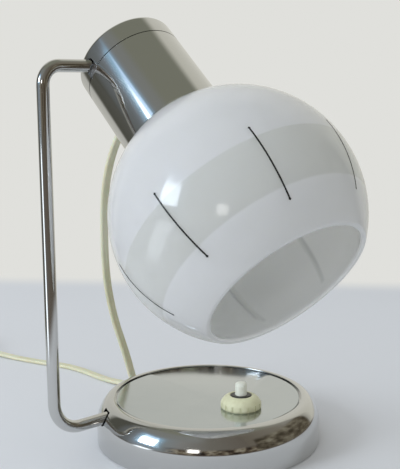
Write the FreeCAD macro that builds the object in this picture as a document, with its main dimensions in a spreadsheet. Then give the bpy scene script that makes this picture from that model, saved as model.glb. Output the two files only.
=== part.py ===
"""Table lamp with a white glass globe on a chromed head, held by a bent rod over a round base.

Millimetres.  The origin is the centre of the base on the table and +Z is up.  +X runs from
the rod's upright towards the head, -Y is the front, where the switch stands and the globe
leans, and both flexes leave the base at the back, +Y.
"""
import FreeCAD, Part
import math
import operator
import os
from types import SimpleNamespace

import Sketcher
from FreeCAD import Placement, Rotation, Vector

SIZES = [
    # base, heights from the table
    ("base_radius", 62.5),
    ("shell_wall", 1.2),
    ("shell_foot", 0.5),
    ("side_height", 10.5),
    ("shoulder_radius", 18.0),
    ("lip_radius", 6.0),
    ("lip_height", 24.6),
    ("lip_recess", 0.7),
    ("rim_width", 10.2),
    ("disc_thick", 1.5),
    ("disc_gap", 1.0),
    ("ledge_width", 4.3),
    ("felt_thick", 1.5),
    ("cover_thick", 1.2),
    ("cover_gap", 0.4),
    ("weight_gap", 0.9),
    ("weight_floor", 6.5),
    ("weight_rim", 12.0),
    ("weight_rim_width", 6.4),
    ("pillar_inset", 19.5),
    ("pillar_radius", 3.5),
    ("screw_radius", 1.5),
    ("screw_head_radius", 2.9),
    ("screw_head_height", 1.2),
    ("hole_clearance", 0.2),
    # rod
    ("rod_radius", 3.25),
    ("rod_back", 21.2),
    ("rod_reach", 87.2),
    ("rod_low", 18.4),
    ("rod_high", 206.0),
    ("low_bend", 15.5),
    ("high_bend", 9.5),
    ("rod_tail", 22.0),
    ("rod_hole_clearance", 0.7),
    ("block_length", 17.0),
    ("block_width", 12.0),
    # terminal block and cord clamp, from the base's edge inwards
    ("channel_room", 2.4),
    ("terminal_inset", 32.0),
    ("terminal_depth", 11.5),
    ("terminal_drop", 1.0),
    ("clamp_inset", 15.5),
    ("clamp_width", 4.8),
    ("clamp_thick", 2.0),
    # head, measured along its own axis from the rod's centre line
    ("head_reach", 54.7),
    ("head_tilt", 48.5),
    ("head_radius", 27.2),
    ("head_wall", 1.0),
    ("head_gap", 0.5),
    ("seam_drop", 4.5),
    ("cap_top", 7.5),
    ("cap_edge", 2.2),
    ("rim_bead", 1.1),
    ("seat_gap", 0.3),
    ("saddle_thick", 8.0),
    ("saddle_gap", 0.3),
    ("saddle_play", 0.1),
    ("rod_fit", 0.05),
    ("rod_tip", 16.0),
    ("collar_radius", 5.4),
    ("collar_length", 4.0),
    ("tube_radius", 5.0),
    ("tube_bore", 3.5),
    ("tube_length", 22.0),
    ("holder_radius", 19.4),
    ("holder_collar", 23.5),
    ("holder_length", 14.0),
    ("neck_radius", 20.6),
    ("ring_radius", 25.0),
    ("ring_height", 4.0),
    # globe and lamp
    ("globe_radius", 60.9),
    ("globe_wall", 2.6),
    ("globe_drop", 106.6),
    ("mouth_drop", 43.9),
    ("bulb_radius", 22.5),
    ("thread_radius", 13.1),
    ("socket_wall", 0.5),
    ("socket_fit", 0.35),
    # switch
    ("switch_front", 27.0),
    ("nut_radius", 11.0),
    ("nut_height", 7.0),
    ("bush_radius", 5.8),
    ("bush_stand", 7.3),
    ("button_radius", 3.15),
    ("button_stand", 14.2),
    ("button_fit", 0.07),
    ("button_travel", 2.5),
    ("switch_radius", 10.5),
    ("switch_depth", 15.0),
    ("cavity_radius", 6.2),
    ("spring_wire", 0.6),
    # flexes
    ("flex_width", 5.2),
    ("flex_hole_height", 7.2),
    ("flex_angle", 3.5),
    ("mains_angle", 13.5),
    ("grommet_radius", 4.4),
    ("grommet_face", 1.5),
    ("flex_exit_drop", 14.0),
    ("coil_gap", 0.5),
    ("coil_radius", 41.5),
    ("plug_length", 36.0),
    ("plug_width", 35.0),
    ("plug_thick", 13.7),
    ("pin_radius", 2.0),
    ("pin_length", 19.0),
    ("pin_spacing", 18.6),
]

OPERATIONS = {"+": operator.add, "-": operator.sub, "*": operator.mul, "/": operator.truediv}

doc = FreeCAD.newDocument("GlobeLamp")
sheet = doc.addObject("Spreadsheet::Sheet", "Sizes")


class Size:
    """A length with its number and the sheet formula that gives it."""

    def __init__(self, number, formula):
        self.number = number
        self.formula = formula

    def __add__(self, other):
        return combine(self, "+", other)

    def __radd__(self, other):
        return combine(other, "+", self)

    def __sub__(self, other):
        return combine(self, "-", other)

    def __rsub__(self, other):
        return combine(other, "-", self)

    def __mul__(self, other):
        return combine(self, "*", other)

    def __rmul__(self, other):
        return combine(other, "*", self)

    def __truediv__(self, other):
        return combine(self, "/", other)

    def __neg__(self):
        return combine(0.0, "-", self)


def number(value):
    return value.number if isinstance(value, Size) else float(value)


def formula(value):
    return value.formula if isinstance(value, Size) else f"{float(value):.6f}"


def combine(left, sign, right):
    result = OPERATIONS[sign](number(left), number(right))
    return Size(result, f"({formula(left)} {sign} {formula(right)})")


def root(value):
    return Size(math.sqrt(number(value)), f"sqrt({formula(value)})")


def leg(long_side, short_side):
    """The third side of a right-angled triangle: a round form's height over its radius."""
    return root(long_side * long_side - short_side * short_side)


def write_sheet():
    sizes = {}
    for row, (name, value) in enumerate(SIZES, start=1):
        sheet.set(f"A{row}", name)
        sheet.set(f"B{row}", str(value))
        sheet.setAlias(f"B{row}", name)
        sizes[name] = Size(float(value), f"Sizes.{name}")
    doc.recompute()
    return SimpleNamespace(**sizes)


S = write_sheet()
PIECES = []


# Drawing and features

def bind(target, prop, value):
    """Set one property of an object from the sheet, or from a plain number."""
    if isinstance(value, Size):
        target.setExpression(prop, value.formula)
    else:
        target.setExpression(prop, formula(value))


def new_body(label):
    body = doc.addObject("PartDesign::Body", label)
    body.Label = label
    PIECES.append(body)
    return body


def place(piece, at=(0.0, 0.0, 0.0), axis=(0, 0, 1), angle=0.0):
    """Put a piece at a point, turned about one axis, both bound to the sheet."""
    start = Vector(*[number(value) for value in at])
    piece.Placement = Placement(start, Rotation(Vector(*axis), number(angle)))
    for name, value in zip("xyz", at):
        bind(piece, f"Placement.Base.{name}", value)
    if number(angle):
        bind(piece, "Placement.Rotation.Angle", angle)
    return piece


def new_sketch(body, plane, name, lift=0.0, turn=0.0, about=(0, 0, 1)):
    """A sketch on an origin plane of the body, lifted along its normal or turned in place."""
    sketch = body.newObject("Sketcher::SketchObject", name)
    support = [item for item in body.Origin.OriginFeatures if item.Role == plane][0]
    sketch.AttachmentSupport = [(support, "")]
    sketch.MapMode = "FlatFace"
    turned_by = Rotation(Vector(*about), number(turn))
    sketch.AttachmentOffset = Placement(Vector(0, 0, number(lift)), turned_by)
    if isinstance(lift, Size):
        bind(sketch, "AttachmentOffset.Base.z", lift)
    if isinstance(turn, Size):
        bind(sketch, "AttachmentOffset.Rotation.Angle", turn)
    return sketch


def pin_point(sketch, geometry, end, point):
    """Fix one end of a sketch element by its two distances from the origin."""
    for kind, value, axis in (("DistanceX", point[0], -2), ("DistanceY", point[1], -1)):
        if isinstance(value, Size):
            index = sketch.addConstraint(
                Sketcher.Constraint(kind, -1, 1, geometry, end, number(value)))
            sketch.setExpression(f"Constraints[{index}]", value.formula)
        elif value == 0:
            sketch.addConstraint(Sketcher.Constraint("PointOnObject", geometry, end, axis))
        else:
            sketch.addConstraint(Sketcher.Constraint(kind, -1, 1, geometry, end, float(value)))


def outline(sketch, corners, closed=True):
    """Draw a profile through corners; a corner's third value is the radius of the arc that
    reaches it, positive when the arc turns left."""
    points = [Vector(number(corner[0]), number(corner[1]), 0) for corner in corners]
    count = len(corners)
    elements = []
    for index in range(count if closed else count - 1):
        start, end = points[index], points[(index + 1) % count]
        corner = corners[(index + 1) % count]
        if len(corner) > 2:
            elements.append(draw_arc(sketch, start, end, corner[2]))
        else:
            line = sketch.addGeometry(Part.LineSegment(start, end), False)
            elements.append((line, 1, 2))
    for index, (element, first, last) in enumerate(elements):
        pin_point(sketch, element, first, corners[index])
        following = elements[(index + 1) % len(elements)]
        if closed or index + 1 < len(elements):
            sketch.addConstraint(
                Sketcher.Constraint("Coincident", element, last, following[0], following[1]))
        else:
            pin_point(sketch, element, last, corners[index + 1])
    return sketch


def draw_arc(sketch, start, end, radius):
    """An arc under a half circle between two points, with its radius bound."""
    turn = 1.0 if number(radius) > 0 else -1.0
    length = abs(number(radius))
    chord = end - start
    left = Vector(-chord.y, chord.x, 0) * (turn / chord.Length)
    rise = math.sqrt(max(length * length - chord.Length * chord.Length / 4.0, 0.0))
    centre = (start + end) * 0.5 + left * rise
    first, last = (start, end) if turn > 0 else (end, start)
    circle = Part.Circle(centre, Vector(0, 0, 1), length)
    begin = math.atan2(first.y - centre.y, first.x - centre.x)
    finish = math.atan2(last.y - centre.y, last.x - centre.x)
    arc = sketch.addGeometry(Part.ArcOfCircle(circle, begin, finish), False)
    index = sketch.addConstraint(Sketcher.Constraint("Radius", arc, length))
    size = radius if turn > 0 else -radius
    if isinstance(radius, Size):
        sketch.setExpression(f"Constraints[{index}]", size.formula)
    return (arc, 1, 2) if turn > 0 else (arc, 2, 1)


def circle(sketch, radius, x=0.0, y=0.0):
    centre = Vector(number(x), number(y), 0)
    element = sketch.addGeometry(Part.Circle(centre, Vector(0, 0, 1), number(radius)), False)
    index = sketch.addConstraint(Sketcher.Constraint("Radius", element, number(radius)))
    if isinstance(radius, Size):
        sketch.setExpression(f"Constraints[{index}]", radius.formula)
    pin_point(sketch, element, 3, (x, y))
    return element


def box_outline(sketch, low, high):
    return outline(sketch, [(low[0], low[1]), (high[0], low[1]), (high[0], high[1]), (low[0], high[1])])


def turned(body, corners, name="Turned"):
    """A solid of revolution about the body's own Z axis, from its half section."""
    sketch = outline(new_sketch(body, "XZ_Plane", name + "Section"), corners)
    feature = body.newObject("PartDesign::Revolution", name)
    feature.Profile = sketch
    feature.ReferenceAxis = (sketch, ["V_Axis"])
    feature.Angle = 360.0
    sketch.Visibility = False
    doc.recompute()
    return feature


def pad(body, sketch, length, name, both_ways=False):
    feature = body.newObject("PartDesign::Pad", name)
    feature.Profile = sketch
    feature.Length = number(length)
    bind(feature, "Length", length)
    feature.Midplane = both_ways
    doc.recompute()
    return feature


def pocket(body, sketch, length, name, both_ways=False, other_way=False):
    """Cut a sketch into the body, and stop if the cut takes nothing away."""
    before = body.Shape.Volume
    feature = body.newObject("PartDesign::Pocket", name)
    feature.Profile = sketch
    feature.Length = number(length)
    bind(feature, "Length", length)
    feature.Midplane = both_ways
    feature.Reversed = other_way
    doc.recompute()
    if body.Shape.Volume > before - 1e-6:
        raise RuntimeError(f"{body.Label}: {name} cuts nothing")
    return feature


def repeat(body, feature, count, name):
    """Repeat a feature round the body's Z axis."""
    pattern = body.newObject("PartDesign::PolarPattern", name)
    pattern.Originals = [feature]
    axis = [item for item in body.Origin.OriginFeatures if item.Role == "Z_Axis"][0]
    pattern.Axis = (axis, [""])
    pattern.Angle = 360.0
    pattern.Occurrences = count
    body.Tip = pattern
    doc.recompute()
    return pattern


def round_edges(body, radius, name, wanted):
    """Fillet the edges of the body for which the test wanted(edge) holds."""
    base = body.Tip
    names = [f"Edge{index}" for index, edge in enumerate(base.Shape.Edges, start=1) if wanted(edge)]
    feature = body.newObject("PartDesign::Fillet", name)
    feature.Base = (base, names)
    feature.Radius = number(radius)
    if isinstance(radius, Size):
        bind(feature, "Radius", radius)
    doc.recompute()
    return feature


def cylinder(name, radius, height, at=(0.0, 0.0, 0.0), axis=(0, 0, 1), angle=0.0):
    item = doc.addObject("Part::Cylinder", name)
    bind(item, "Radius", radius)
    bind(item, "Height", height)
    return place(item, at, axis, angle)


def box(name, length, width, height, at):
    item = doc.addObject("Part::Box", name)
    bind(item, "Length", length)
    bind(item, "Width", width)
    bind(item, "Height", height)
    return place(item, at)


def joined(name, items):
    item = doc.addObject("Part::MultiFuse", name)
    item.Shapes = items
    doc.recompute()
    return item


def cut(name, base, tool):
    item = doc.addObject("Part::Cut", name)
    item.Base = base
    item.Tool = tool
    doc.recompute()
    return item


def group(label, items):
    """Separate solids that share one node, such as like screws."""
    item = doc.addObject("Part::Compound", label)
    item.Links = items
    item.Label = label
    doc.recompute()
    PIECES.append(item)
    return item


def as_piece(item, label):
    item.Label = label
    PIECES.append(item)
    return item


def screw(name, at, length, head_down=True):
    """A pan-head screw along Z: the shank starts at the point and the head lies beyond it."""
    shank = cylinder(name + "Shank", S.screw_radius, length, at)
    drop = -S.screw_head_height if head_down else length
    head_at = (at[0], at[1], at[2] + drop)
    head = cylinder(name + "Head", S.screw_head_radius, S.screw_head_height, head_at)
    return joined(name, [shank, head])


# Heights and places that several pieces share

COVER_LOW = S.felt_thick
COVER_HIGH = S.felt_thick + S.cover_thick
FLOOR_HIGH = COVER_HIGH + S.weight_floor
TERMINAL_HIGH = COVER_HIGH + S.weight_rim - S.terminal_drop
DISC_HIGH = S.lip_height - S.lip_recess
DISC_LOW = DISC_HIGH - S.disc_thick
LIP_BORE = S.base_radius - S.rim_width
DISC_RADIUS = LIP_BORE - S.disc_gap
WEIGHT_RADIUS = S.base_radius - S.shell_wall - S.weight_gap
PIVOT_X = S.head_reach - S.rod_reach
PILLAR_CIRCLE = S.base_radius - S.pillar_inset
EXIT_ANGLE = (S.flex_angle + S.mains_angle) / 2
PILLAR_ANGLES = (-15.0, 105.0, 225.0)
FIT = S.rod_fit


def on_circle(radius, degrees, height=0.0):
    """A point at an angle from +X, on a circle whose radius is bound to the sheet."""
    angle = math.radians(degrees)
    return (radius * math.cos(angle), radius * math.sin(angle), height)


def pillar_spots(height):
    return [on_circle(PILLAR_CIRCLE, angle, height) for angle in PILLAR_ANGLES]


# The base

def base_shell():
    """Pressed and chromed ring: upright side, round shoulder, lip, and a ledge for the disc."""
    body = new_body("base_shell")
    wall = S.shell_wall
    inner = S.base_radius - wall
    hub = S.base_radius - S.shoulder_radius
    step = S.shoulder_radius - S.lip_radius
    rise = S.lip_height - S.side_height - S.lip_radius
    run = leg(step, rise)
    crest = hub + run
    outer_join = (hub + run * S.shoulder_radius / step, S.side_height + rise * S.shoulder_radius / step)
    inner_arc = S.shoulder_radius - wall
    inner_join = (hub + run * inner_arc / step, S.side_height + rise * inner_arc / step)
    lip_back = LIP_BORE + wall
    lip_inside = S.lip_height - S.lip_radius + leg(S.lip_radius - wall, lip_back - crest)
    ledge_bore = LIP_BORE - S.ledge_width
    turned(body, [
        (inner, S.shell_foot),
        (S.base_radius, S.shell_foot),
        (S.base_radius, S.side_height),
        (outer_join[0], outer_join[1], S.shoulder_radius),
        (crest, S.lip_height, S.lip_radius),
        (LIP_BORE, S.lip_height),
        (LIP_BORE, DISC_LOW),
        (ledge_bore, DISC_LOW),
        (ledge_bore, DISC_LOW - wall),
        (lip_back, DISC_LOW - wall),
        (lip_back, lip_inside),
        (inner_join[0], inner_join[1], -(S.lip_radius - wall)),
        (inner, S.side_height, -inner_arc),
    ])
    slot = S.rod_radius + S.rod_hole_clearance
    sketch = new_sketch(body, "YZ_Plane", "RodSlotSketch")
    outline(sketch, [
        (S.rod_back + slot, S.rod_low, slot),
        (S.rod_back + slot, DISC_LOW),
        (S.rod_back - slot, DISC_LOW),
        (S.rod_back - slot, S.rod_low),
        (S.rod_back, S.rod_low - slot, slot),
    ])
    pocket(body, sketch, S.base_radius, "RodSlot")
    for name, angle in (("Flex", S.flex_angle), ("Mains", S.mains_angle)):
        hole = new_sketch(body, "XZ_Plane", name + "HoleSketch", turn=-angle, about=(0, 1, 0))
        circle(hole, grommet_neck() + 2 * FIT, 0.0, S.flex_hole_height)
        pocket(body, hole, S.base_radius + wall, name + "Hole")
    lip_height = number(S.lip_height)
    lip_bore = number(LIP_BORE)
    round_edges(body, S.shell_wall / 3, "LipRound",
                lambda edge: on_ring(edge, lip_bore, lip_height))


def on_ring(edge, radius, height):
    """Whether an edge is the whole circle of this radius at this height, about the axis."""
    curve = edge.Curve
    if not isinstance(curve, Part.Circle) or len(edge.Vertexes) != 1:
        return False
    return abs(curve.Radius - radius) < 1e-3 and abs(curve.Center.z - height) < 1e-3


def grommet_neck():
    return S.grommet_radius - S.shell_wall + S.hole_clearance


def top_disc():
    """Brushed metal disc that closes the base and carries the switch."""
    body = new_body("top_disc")
    sketch = new_sketch(body, "XY_Plane", "DiscSketch", DISC_LOW)
    circle(sketch, DISC_RADIUS)
    pad(body, sketch, S.disc_thick, "Disc")
    hole = new_sketch(body, "XY_Plane", "SwitchHoleSketch", DISC_HIGH)
    circle(hole, S.bush_radius + S.hole_clearance, 0.0, -S.switch_front)
    pocket(body, hole, S.disc_thick, "SwitchHole")
    disc_high, disc_radius = number(DISC_HIGH), number(DISC_RADIUS)
    round_edges(body, S.disc_thick / 4, "EdgeRound",
                lambda edge: on_ring(edge, disc_radius, disc_high))


def base_weight():
    """Cast-iron dish that ballasts the lamp, with a raised rim and a channel for the flexes."""
    body = new_body("base_weight")
    high = COVER_HIGH + S.weight_rim
    rim = WEIGHT_RADIUS - S.weight_rim_width
    turned(body, [
        (0.0, COVER_HIGH),
        (WEIGHT_RADIUS, COVER_HIGH),
        (WEIGHT_RADIUS, high),
        (rim, high),
        (rim - S.weight_floor / 4, FLOOR_HIGH),
        (0.0, FLOOR_HIGH),
    ])
    well = new_sketch(body, "XY_Plane", "SwitchWellSketch", high)
    circle(well, S.switch_radius + 2.0, 0.0, -S.switch_front)
    pocket(body, well, S.weight_rim, "SwitchWell")
    half = channel_half()
    channel = new_sketch(body, "XY_Plane", "ChannelSketch", high, turn=-EXIT_ANGLE)
    box_outline(channel, (-half, terminal_front() - 1.0), (half, S.base_radius))
    pocket(body, channel, S.weight_rim, "FlexChannel")
    holes = new_sketch(body, "XY_Plane", "ScrewHoleSketch", high)
    for spot in pillar_spots(0.0) + block_screw_spots():
        circle(holes, S.screw_radius + S.hole_clearance, spot[0], spot[1])
    pocket(body, holes, S.weight_rim, "ScrewHoles")
    sinks = new_sketch(body, "XY_Plane", "CounterboreSketch", COVER_HIGH)
    for spot in block_screw_spots():
        circle(sinks, S.screw_head_radius + S.hole_clearance, spot[0], spot[1])
    pocket(body, sinks, S.screw_head_height + S.hole_clearance, "Counterbores", other_way=True)
    clamp_holes = new_sketch(body, "XY_Plane", "ClampHoleSketch", high, turn=-EXIT_ANGLE)
    for side in (-1.0, 1.0):
        circle(clamp_holes, S.screw_radius + FIT, side * clamp_reach(), clamp_middle())
    pocket(body, clamp_holes, S.weight_rim, "ClampHoles")


def channel_half():
    return S.grommet_radius * 2 + S.channel_room


def terminal_front():
    return S.base_radius - S.terminal_inset


def terminal_back():
    return terminal_front() + S.terminal_depth


def clamp_middle():
    return S.base_radius - S.clamp_inset


def clamp_reach():
    return channel_half() + S.screw_head_radius - 0.4


def bottom_cover():
    """Sheet-steel plate under the weight, held by the three long screws."""
    body = new_body("bottom_cover")
    sketch = new_sketch(body, "XY_Plane", "CoverSketch", COVER_LOW)
    circle(sketch, S.base_radius - S.shell_wall - S.cover_gap)
    for spot in pillar_spots(0.0):
        circle(sketch, S.screw_radius + S.hole_clearance, spot[0], spot[1])
    pad(body, sketch, S.cover_thick, "Cover")


def felt_pad():
    """Felt disc glued under the cover, cut out round the screw heads."""
    body = new_body("felt_pad")
    sketch = new_sketch(body, "XY_Plane", "FeltSketch")
    circle(sketch, S.base_radius - S.shell_wall - 2 * S.cover_gap)
    for spot in pillar_spots(0.0):
        circle(sketch, S.screw_head_radius + S.hole_clearance, spot[0], spot[1])
    pad(body, sketch, S.felt_thick, "Felt")


def pillars():
    """Three turned pillars under the disc, which the long screws pull down on its ledge."""
    height = DISC_LOW - FLOOR_HIGH
    depth = pillar_thread() + 1.0
    items = []
    for index, spot in enumerate(pillar_spots(FLOOR_HIGH)):
        post = cylinder(f"PillarPost{index}", S.pillar_radius, height, spot)
        bore = cylinder(f"PillarBore{index}", S.screw_radius + FIT, depth, spot)
        items.append(cut(f"Pillar{index}", post, bore))
    group("disc_pillars", items)


def pillar_thread():
    return (DISC_LOW - FLOOR_HIGH) / 2


def cover_screws():
    length = FLOOR_HIGH - COVER_LOW + pillar_thread()
    spots = pillar_spots(COVER_LOW)
    group("cover_screws", [screw(f"CoverScrew{i}", spot, length) for i, spot in enumerate(spots)])


def block_screw_spots():
    low = COVER_HIGH + S.screw_head_height + S.hole_clearance / 2
    return [(-S.rod_tail - share * S.block_length, S.rod_back, low) for share in (0.25, 0.75)]


def rod_block():
    """Zinc block on the weight that grips the rod's lower end."""
    body = new_body("rod_block")
    high = DISC_LOW - S.hole_clearance
    sketch = new_sketch(body, "YZ_Plane", "BlockSketch", -S.rod_tail)
    box_outline(sketch, (S.rod_back - S.block_width / 2, FLOOR_HIGH), (S.rod_back + S.block_width / 2, high))
    circle(sketch, S.rod_radius + FIT, S.rod_back, S.rod_low)
    block = pad(body, sketch, S.block_length, "Block")
    block.Reversed = True
    doc.recompute()
    holes = new_sketch(body, "XY_Plane", "BlockScrewSketch", S.rod_low)
    for spot in block_screw_spots():
        circle(holes, S.screw_radius + FIT, spot[0], spot[1])
    pocket(body, holes, S.rod_low - FLOOR_HIGH, "ScrewHoles")
    flank = number(S.block_width) / 2
    middle = number(S.rod_back)
    round_edges(body, S.block_width / 12, "CornerRound", lambda edge: is_flank(edge, middle, flank))


def is_flank(edge, middle, flank):
    """Whether a straight edge runs along X on a flank of the block."""
    box_ = edge.BoundBox
    return box_.YLength < 1e-6 and box_.ZLength < 1e-6 and abs(abs(box_.YMin - middle) - flank) < 1e-3


def rod_block_screws():
    spots = block_screw_spots()
    length = S.rod_low - S.rod_radius - S.hole_clearance - spots[0][2]
    group("rod_block_screws", [screw(f"BlockScrew{i}", spot, length) for i, spot in enumerate(spots)])


def terminal_block():
    """Moulded block with three pairs of wire funnels and screw wells."""
    body = new_body("terminal_block")
    half = terminal_half()
    sketch = new_sketch(body, "XY_Plane", "BlockSketch", COVER_HIGH)
    box_outline(sketch, (-half, terminal_front()), (half, terminal_back()))
    pad(body, sketch, TERMINAL_HIGH - COVER_HIGH, "Block")
    wells = new_sketch(body, "XY_Plane", "WellSketch", TERMINAL_HIGH)
    for across in terminal_spots():
        circle(wells, S.screw_radius + 0.5, across, terminal_middle())
    pocket(body, wells, S.weight_rim / 2, "ScrewWells")
    place(body, angle=-EXIT_ANGLE)


def terminal_half():
    return channel_half() - 2.0


def terminal_middle():
    return (terminal_front() + terminal_back()) / 2


def terminal_spots():
    """Where the three wells stand across the block."""
    return [side * terminal_half() * 0.62 for side in (-1.0, 0.0, 1.0)]


def terminal_screws():
    low = TERMINAL_HIGH - S.weight_rim / 2
    items = []
    for index, across in enumerate(terminal_spots()):
        item = cylinder(f"TerminalScrew{index}", S.screw_radius + 0.3, S.weight_rim / 4,
                        round_about_exit(across, terminal_middle(), low))
        items.append(item)
    group("terminal_screws", items)


def round_about_exit(across, out, height):
    """A point given across and along the flexes' middle direction, in the lamp's frame."""
    angle = math.radians(number(EXIT_ANGLE))
    side, ahead = math.cos(angle), math.sin(angle)
    return (across * side + out * ahead, out * side - across * ahead, height)


def cord_clamp():
    """Bar that holds both flexes down behind their grommets."""
    body = new_body("cord_clamp")
    low = S.flex_hole_height + S.flex_width / 2 + FIT
    reach = clamp_reach() + S.screw_head_radius
    sketch = new_sketch(body, "XY_Plane", "BarSketch", low)
    half = S.clamp_width / 2
    box_outline(sketch, (-reach, clamp_middle() - half), (reach, clamp_middle() + half))
    for side in (-1.0, 1.0):
        circle(sketch, S.screw_radius + S.hole_clearance, side * clamp_reach(), clamp_middle())
    pad(body, sketch, S.clamp_thick, "Bar")
    place(body, angle=-EXIT_ANGLE)


def cord_clamp_screws():
    low = COVER_HIGH + 1.0
    high = S.flex_hole_height + S.flex_width / 2 + FIT + S.clamp_thick
    items = []
    for index, side in enumerate((-1.0, 1.0)):
        spot = round_about_exit(side * clamp_reach(), clamp_middle(), low)
        items.append(screw(f"ClampScrew{index}", spot, high - low, head_down=False))
    group("cord_clamp_screws", items)


# The switch, on its own axis in front of the middle

BUSH_LOW = DISC_LOW - S.shell_wall
SWITCH_LOW = BUSH_LOW - S.switch_depth
CAVITY_LOW = SWITCH_LOW + S.button_travel
COLLAR_HIGH = BUSH_LOW - FIT
COLLAR_LOW = COLLAR_HIGH - S.button_radius / 2


def on_switch(piece):
    return place(piece, (0.0, -S.switch_front, 0.0))


def switch_body():
    """Moulded push-switch case with the cavity for its spring and collar."""
    body = new_body("switch_body")
    turned(body, [
        (0.0, SWITCH_LOW),
        (S.switch_radius, SWITCH_LOW),
        (S.switch_radius, BUSH_LOW),
        (S.cavity_radius, BUSH_LOW),
        (S.cavity_radius, CAVITY_LOW),
        (0.0, CAVITY_LOW),
    ])
    on_switch(body)


def switch_bush():
    """Black threaded neck: its flange lies under the disc and its end shows round the button."""
    body = new_body("switch_bush")
    bore = S.button_radius + S.button_fit
    high = DISC_HIGH + S.bush_stand
    turned(body, [
        (bore, BUSH_LOW),
        (S.switch_radius - S.shell_wall, BUSH_LOW),
        (S.switch_radius - S.shell_wall, DISC_LOW),
        (S.bush_radius, DISC_LOW),
        (S.bush_radius, high - S.bush_radius / 8),
        (S.bush_radius * 7 / 8, high),
        (bore, high),
    ])
    on_switch(body)


def switch_nut():
    """Domed ivory nut with a notched foot, screwed down on the disc."""
    body = new_body("switch_nut")
    bore = S.bush_radius + S.button_fit
    high = DISC_HIGH + S.nut_height
    foot = S.nut_radius - S.nut_height * 0.1
    shoulder = DISC_HIGH + S.nut_height * 0.42
    turned(body, [
        (bore, DISC_HIGH),
        (foot, DISC_HIGH),
        (S.nut_radius, DISC_HIGH + S.nut_height * 0.12),
        (S.nut_radius, shoulder),
        (bore + S.nut_height * 0.16, high, S.nut_height * 0.92),
        (bore, high),
    ])
    notch = new_sketch(body, "XY_Plane", "NotchSketch", DISC_HIGH)
    half = S.nut_radius * 0.045
    box_outline(notch, (S.nut_radius * 0.955, -half), (S.nut_radius * 1.1, half))
    tooth = pocket(body, notch, S.nut_height * 0.5, "Notch", other_way=True)
    repeat(body, tooth, 16, "Notches")
    on_switch(body)


def switch_button():
    """Ivory push button: domed end, a crease under it, and a collar that keeps it in."""
    body = new_body("switch_button")
    radius = S.button_radius
    high = DISC_HIGH + S.button_stand
    crease = high - radius * 0.62
    stem = radius * 0.75
    dome = radius * 0.6
    sag = dome * 0.1
    turned(body, [
        (0.0, COLLAR_LOW - radius),
        (stem, COLLAR_LOW - radius),
        (stem, COLLAR_LOW),
        (radius * 1.6, COLLAR_LOW),
        (radius * 1.6, COLLAR_HIGH),
        (radius, COLLAR_HIGH),
        (radius, crease - radius * 0.08),
        (radius * 0.92, crease),
        (radius * 0.98, crease + radius * 0.08),
        (radius * 0.98, crease + radius * 0.2),
        (dome, high - sag, radius * 0.5),
        (0.0, high, (dome * dome + sag * sag) / (2 * sag)),
    ])
    on_switch(body)


def switch_tags():
    """Two brass solder tags under the switch."""
    items = []
    for index, side in enumerate((-1.0, 1.0)):
        at = (side * S.switch_radius / 2 - 0.4, -S.switch_front - 2.0, COVER_HIGH + 0.6)
        items.append(box(f"SwitchTag{index}", 0.8, 4.0, SWITCH_LOW - COVER_HIGH - 0.6, at))
    group("switch_tags", items)


# The rod

def rod():
    """Bent steel rod: from the block out through the rim, up, and over to the head."""
    body = new_body("rod")
    path = new_sketch(body, "XZ_Plane", "RodPath")
    outline(path, [
        (-S.rod_tail, S.rod_low),
        (S.low_bend - S.rod_reach, S.rod_low),
        (-S.rod_reach, S.rod_low + S.low_bend, -S.low_bend),
        (-S.rod_reach, S.rod_high - S.high_bend),
        (S.high_bend - S.rod_reach, S.rod_high, -S.high_bend),
        (PIVOT_X + S.rod_tip, S.rod_high),
    ], closed=False)
    section = new_sketch(body, "YZ_Plane", "RodSection", -S.rod_tail)
    circle(section, S.rod_radius, 0.0, S.rod_low)
    doc.recompute()
    pipe = body.newObject("PartDesign::AdditivePipe", "RodBar")
    pipe.Profile = section
    pipe.Spine = (path, [f"Edge{index}" for index in range(1, len(path.Shape.Edges) + 1)])
    doc.recompute()
    place(body, (0.0, S.rod_back, 0.0))


def rod_collar():
    """Ring on the rod's end that keeps the head from sliding off."""
    at = (PIVOT_X + S.rod_tip - S.collar_length, S.rod_back, S.rod_high)
    ring = cylinder("CollarRing", S.collar_radius, S.collar_length, at, (0, 1, 0), 90.0)
    bore = cylinder("CollarBore", S.rod_radius + FIT, S.collar_length, at, (0, 1, 0), 90.0)
    as_piece(cut("rod_collar", ring, bore), "rod_collar")


# The head: each piece is drawn on the head's own axis, with the rod's centre line at zero

SEAM = -S.seam_drop
BODY_HIGH = SEAM - S.head_gap / 2
CAP_LOW = SEAM + S.head_gap / 2
HEAD_BORE = S.head_radius - S.head_wall
GLOBE_Z = -S.globe_drop
BODY_LOW = GLOBE_Z + leg(S.globe_radius, S.head_radius) + S.seat_gap
BORE_LOW = GLOBE_Z + leg(S.globe_radius, HEAD_BORE) + S.seat_gap
NECK_HIGH = GLOBE_Z + leg(S.globe_radius, S.neck_radius)
FLANGE_LOW = NECK_HIGH + S.seat_gap
FLANGE_HIGH = FLANGE_LOW + S.head_wall
HOLDER_LOW = FLANGE_LOW - S.holder_length
SADDLE_LOW = -S.saddle_gap - S.saddle_thick
TUBE_HIGH = -S.rod_radius - S.head_wall
TUBE_LOW = TUBE_HIGH - S.tube_length
HOLDER_HIGH = FLANGE_HIGH + S.holder_collar * 0.43
SOCKET_RADIUS = S.thread_radius + S.socket_fit + S.socket_wall
CONTACT_HIGH = HOLDER_HIGH - 3.0


def on_head(piece, at=(0.0, 0.0, 0.0)):
    """Seat a piece on the head's axis, tilted forward about the rod."""
    tilt = math.radians(number(S.head_tilt))
    along = (0.0, math.sin(tilt), math.cos(tilt))
    spot = (PIVOT_X + at[0], S.rod_back + at[2] * along[1], S.rod_high + at[2] * along[2])
    return place(piece, spot, (1, 0, 0), -S.head_tilt)


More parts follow.
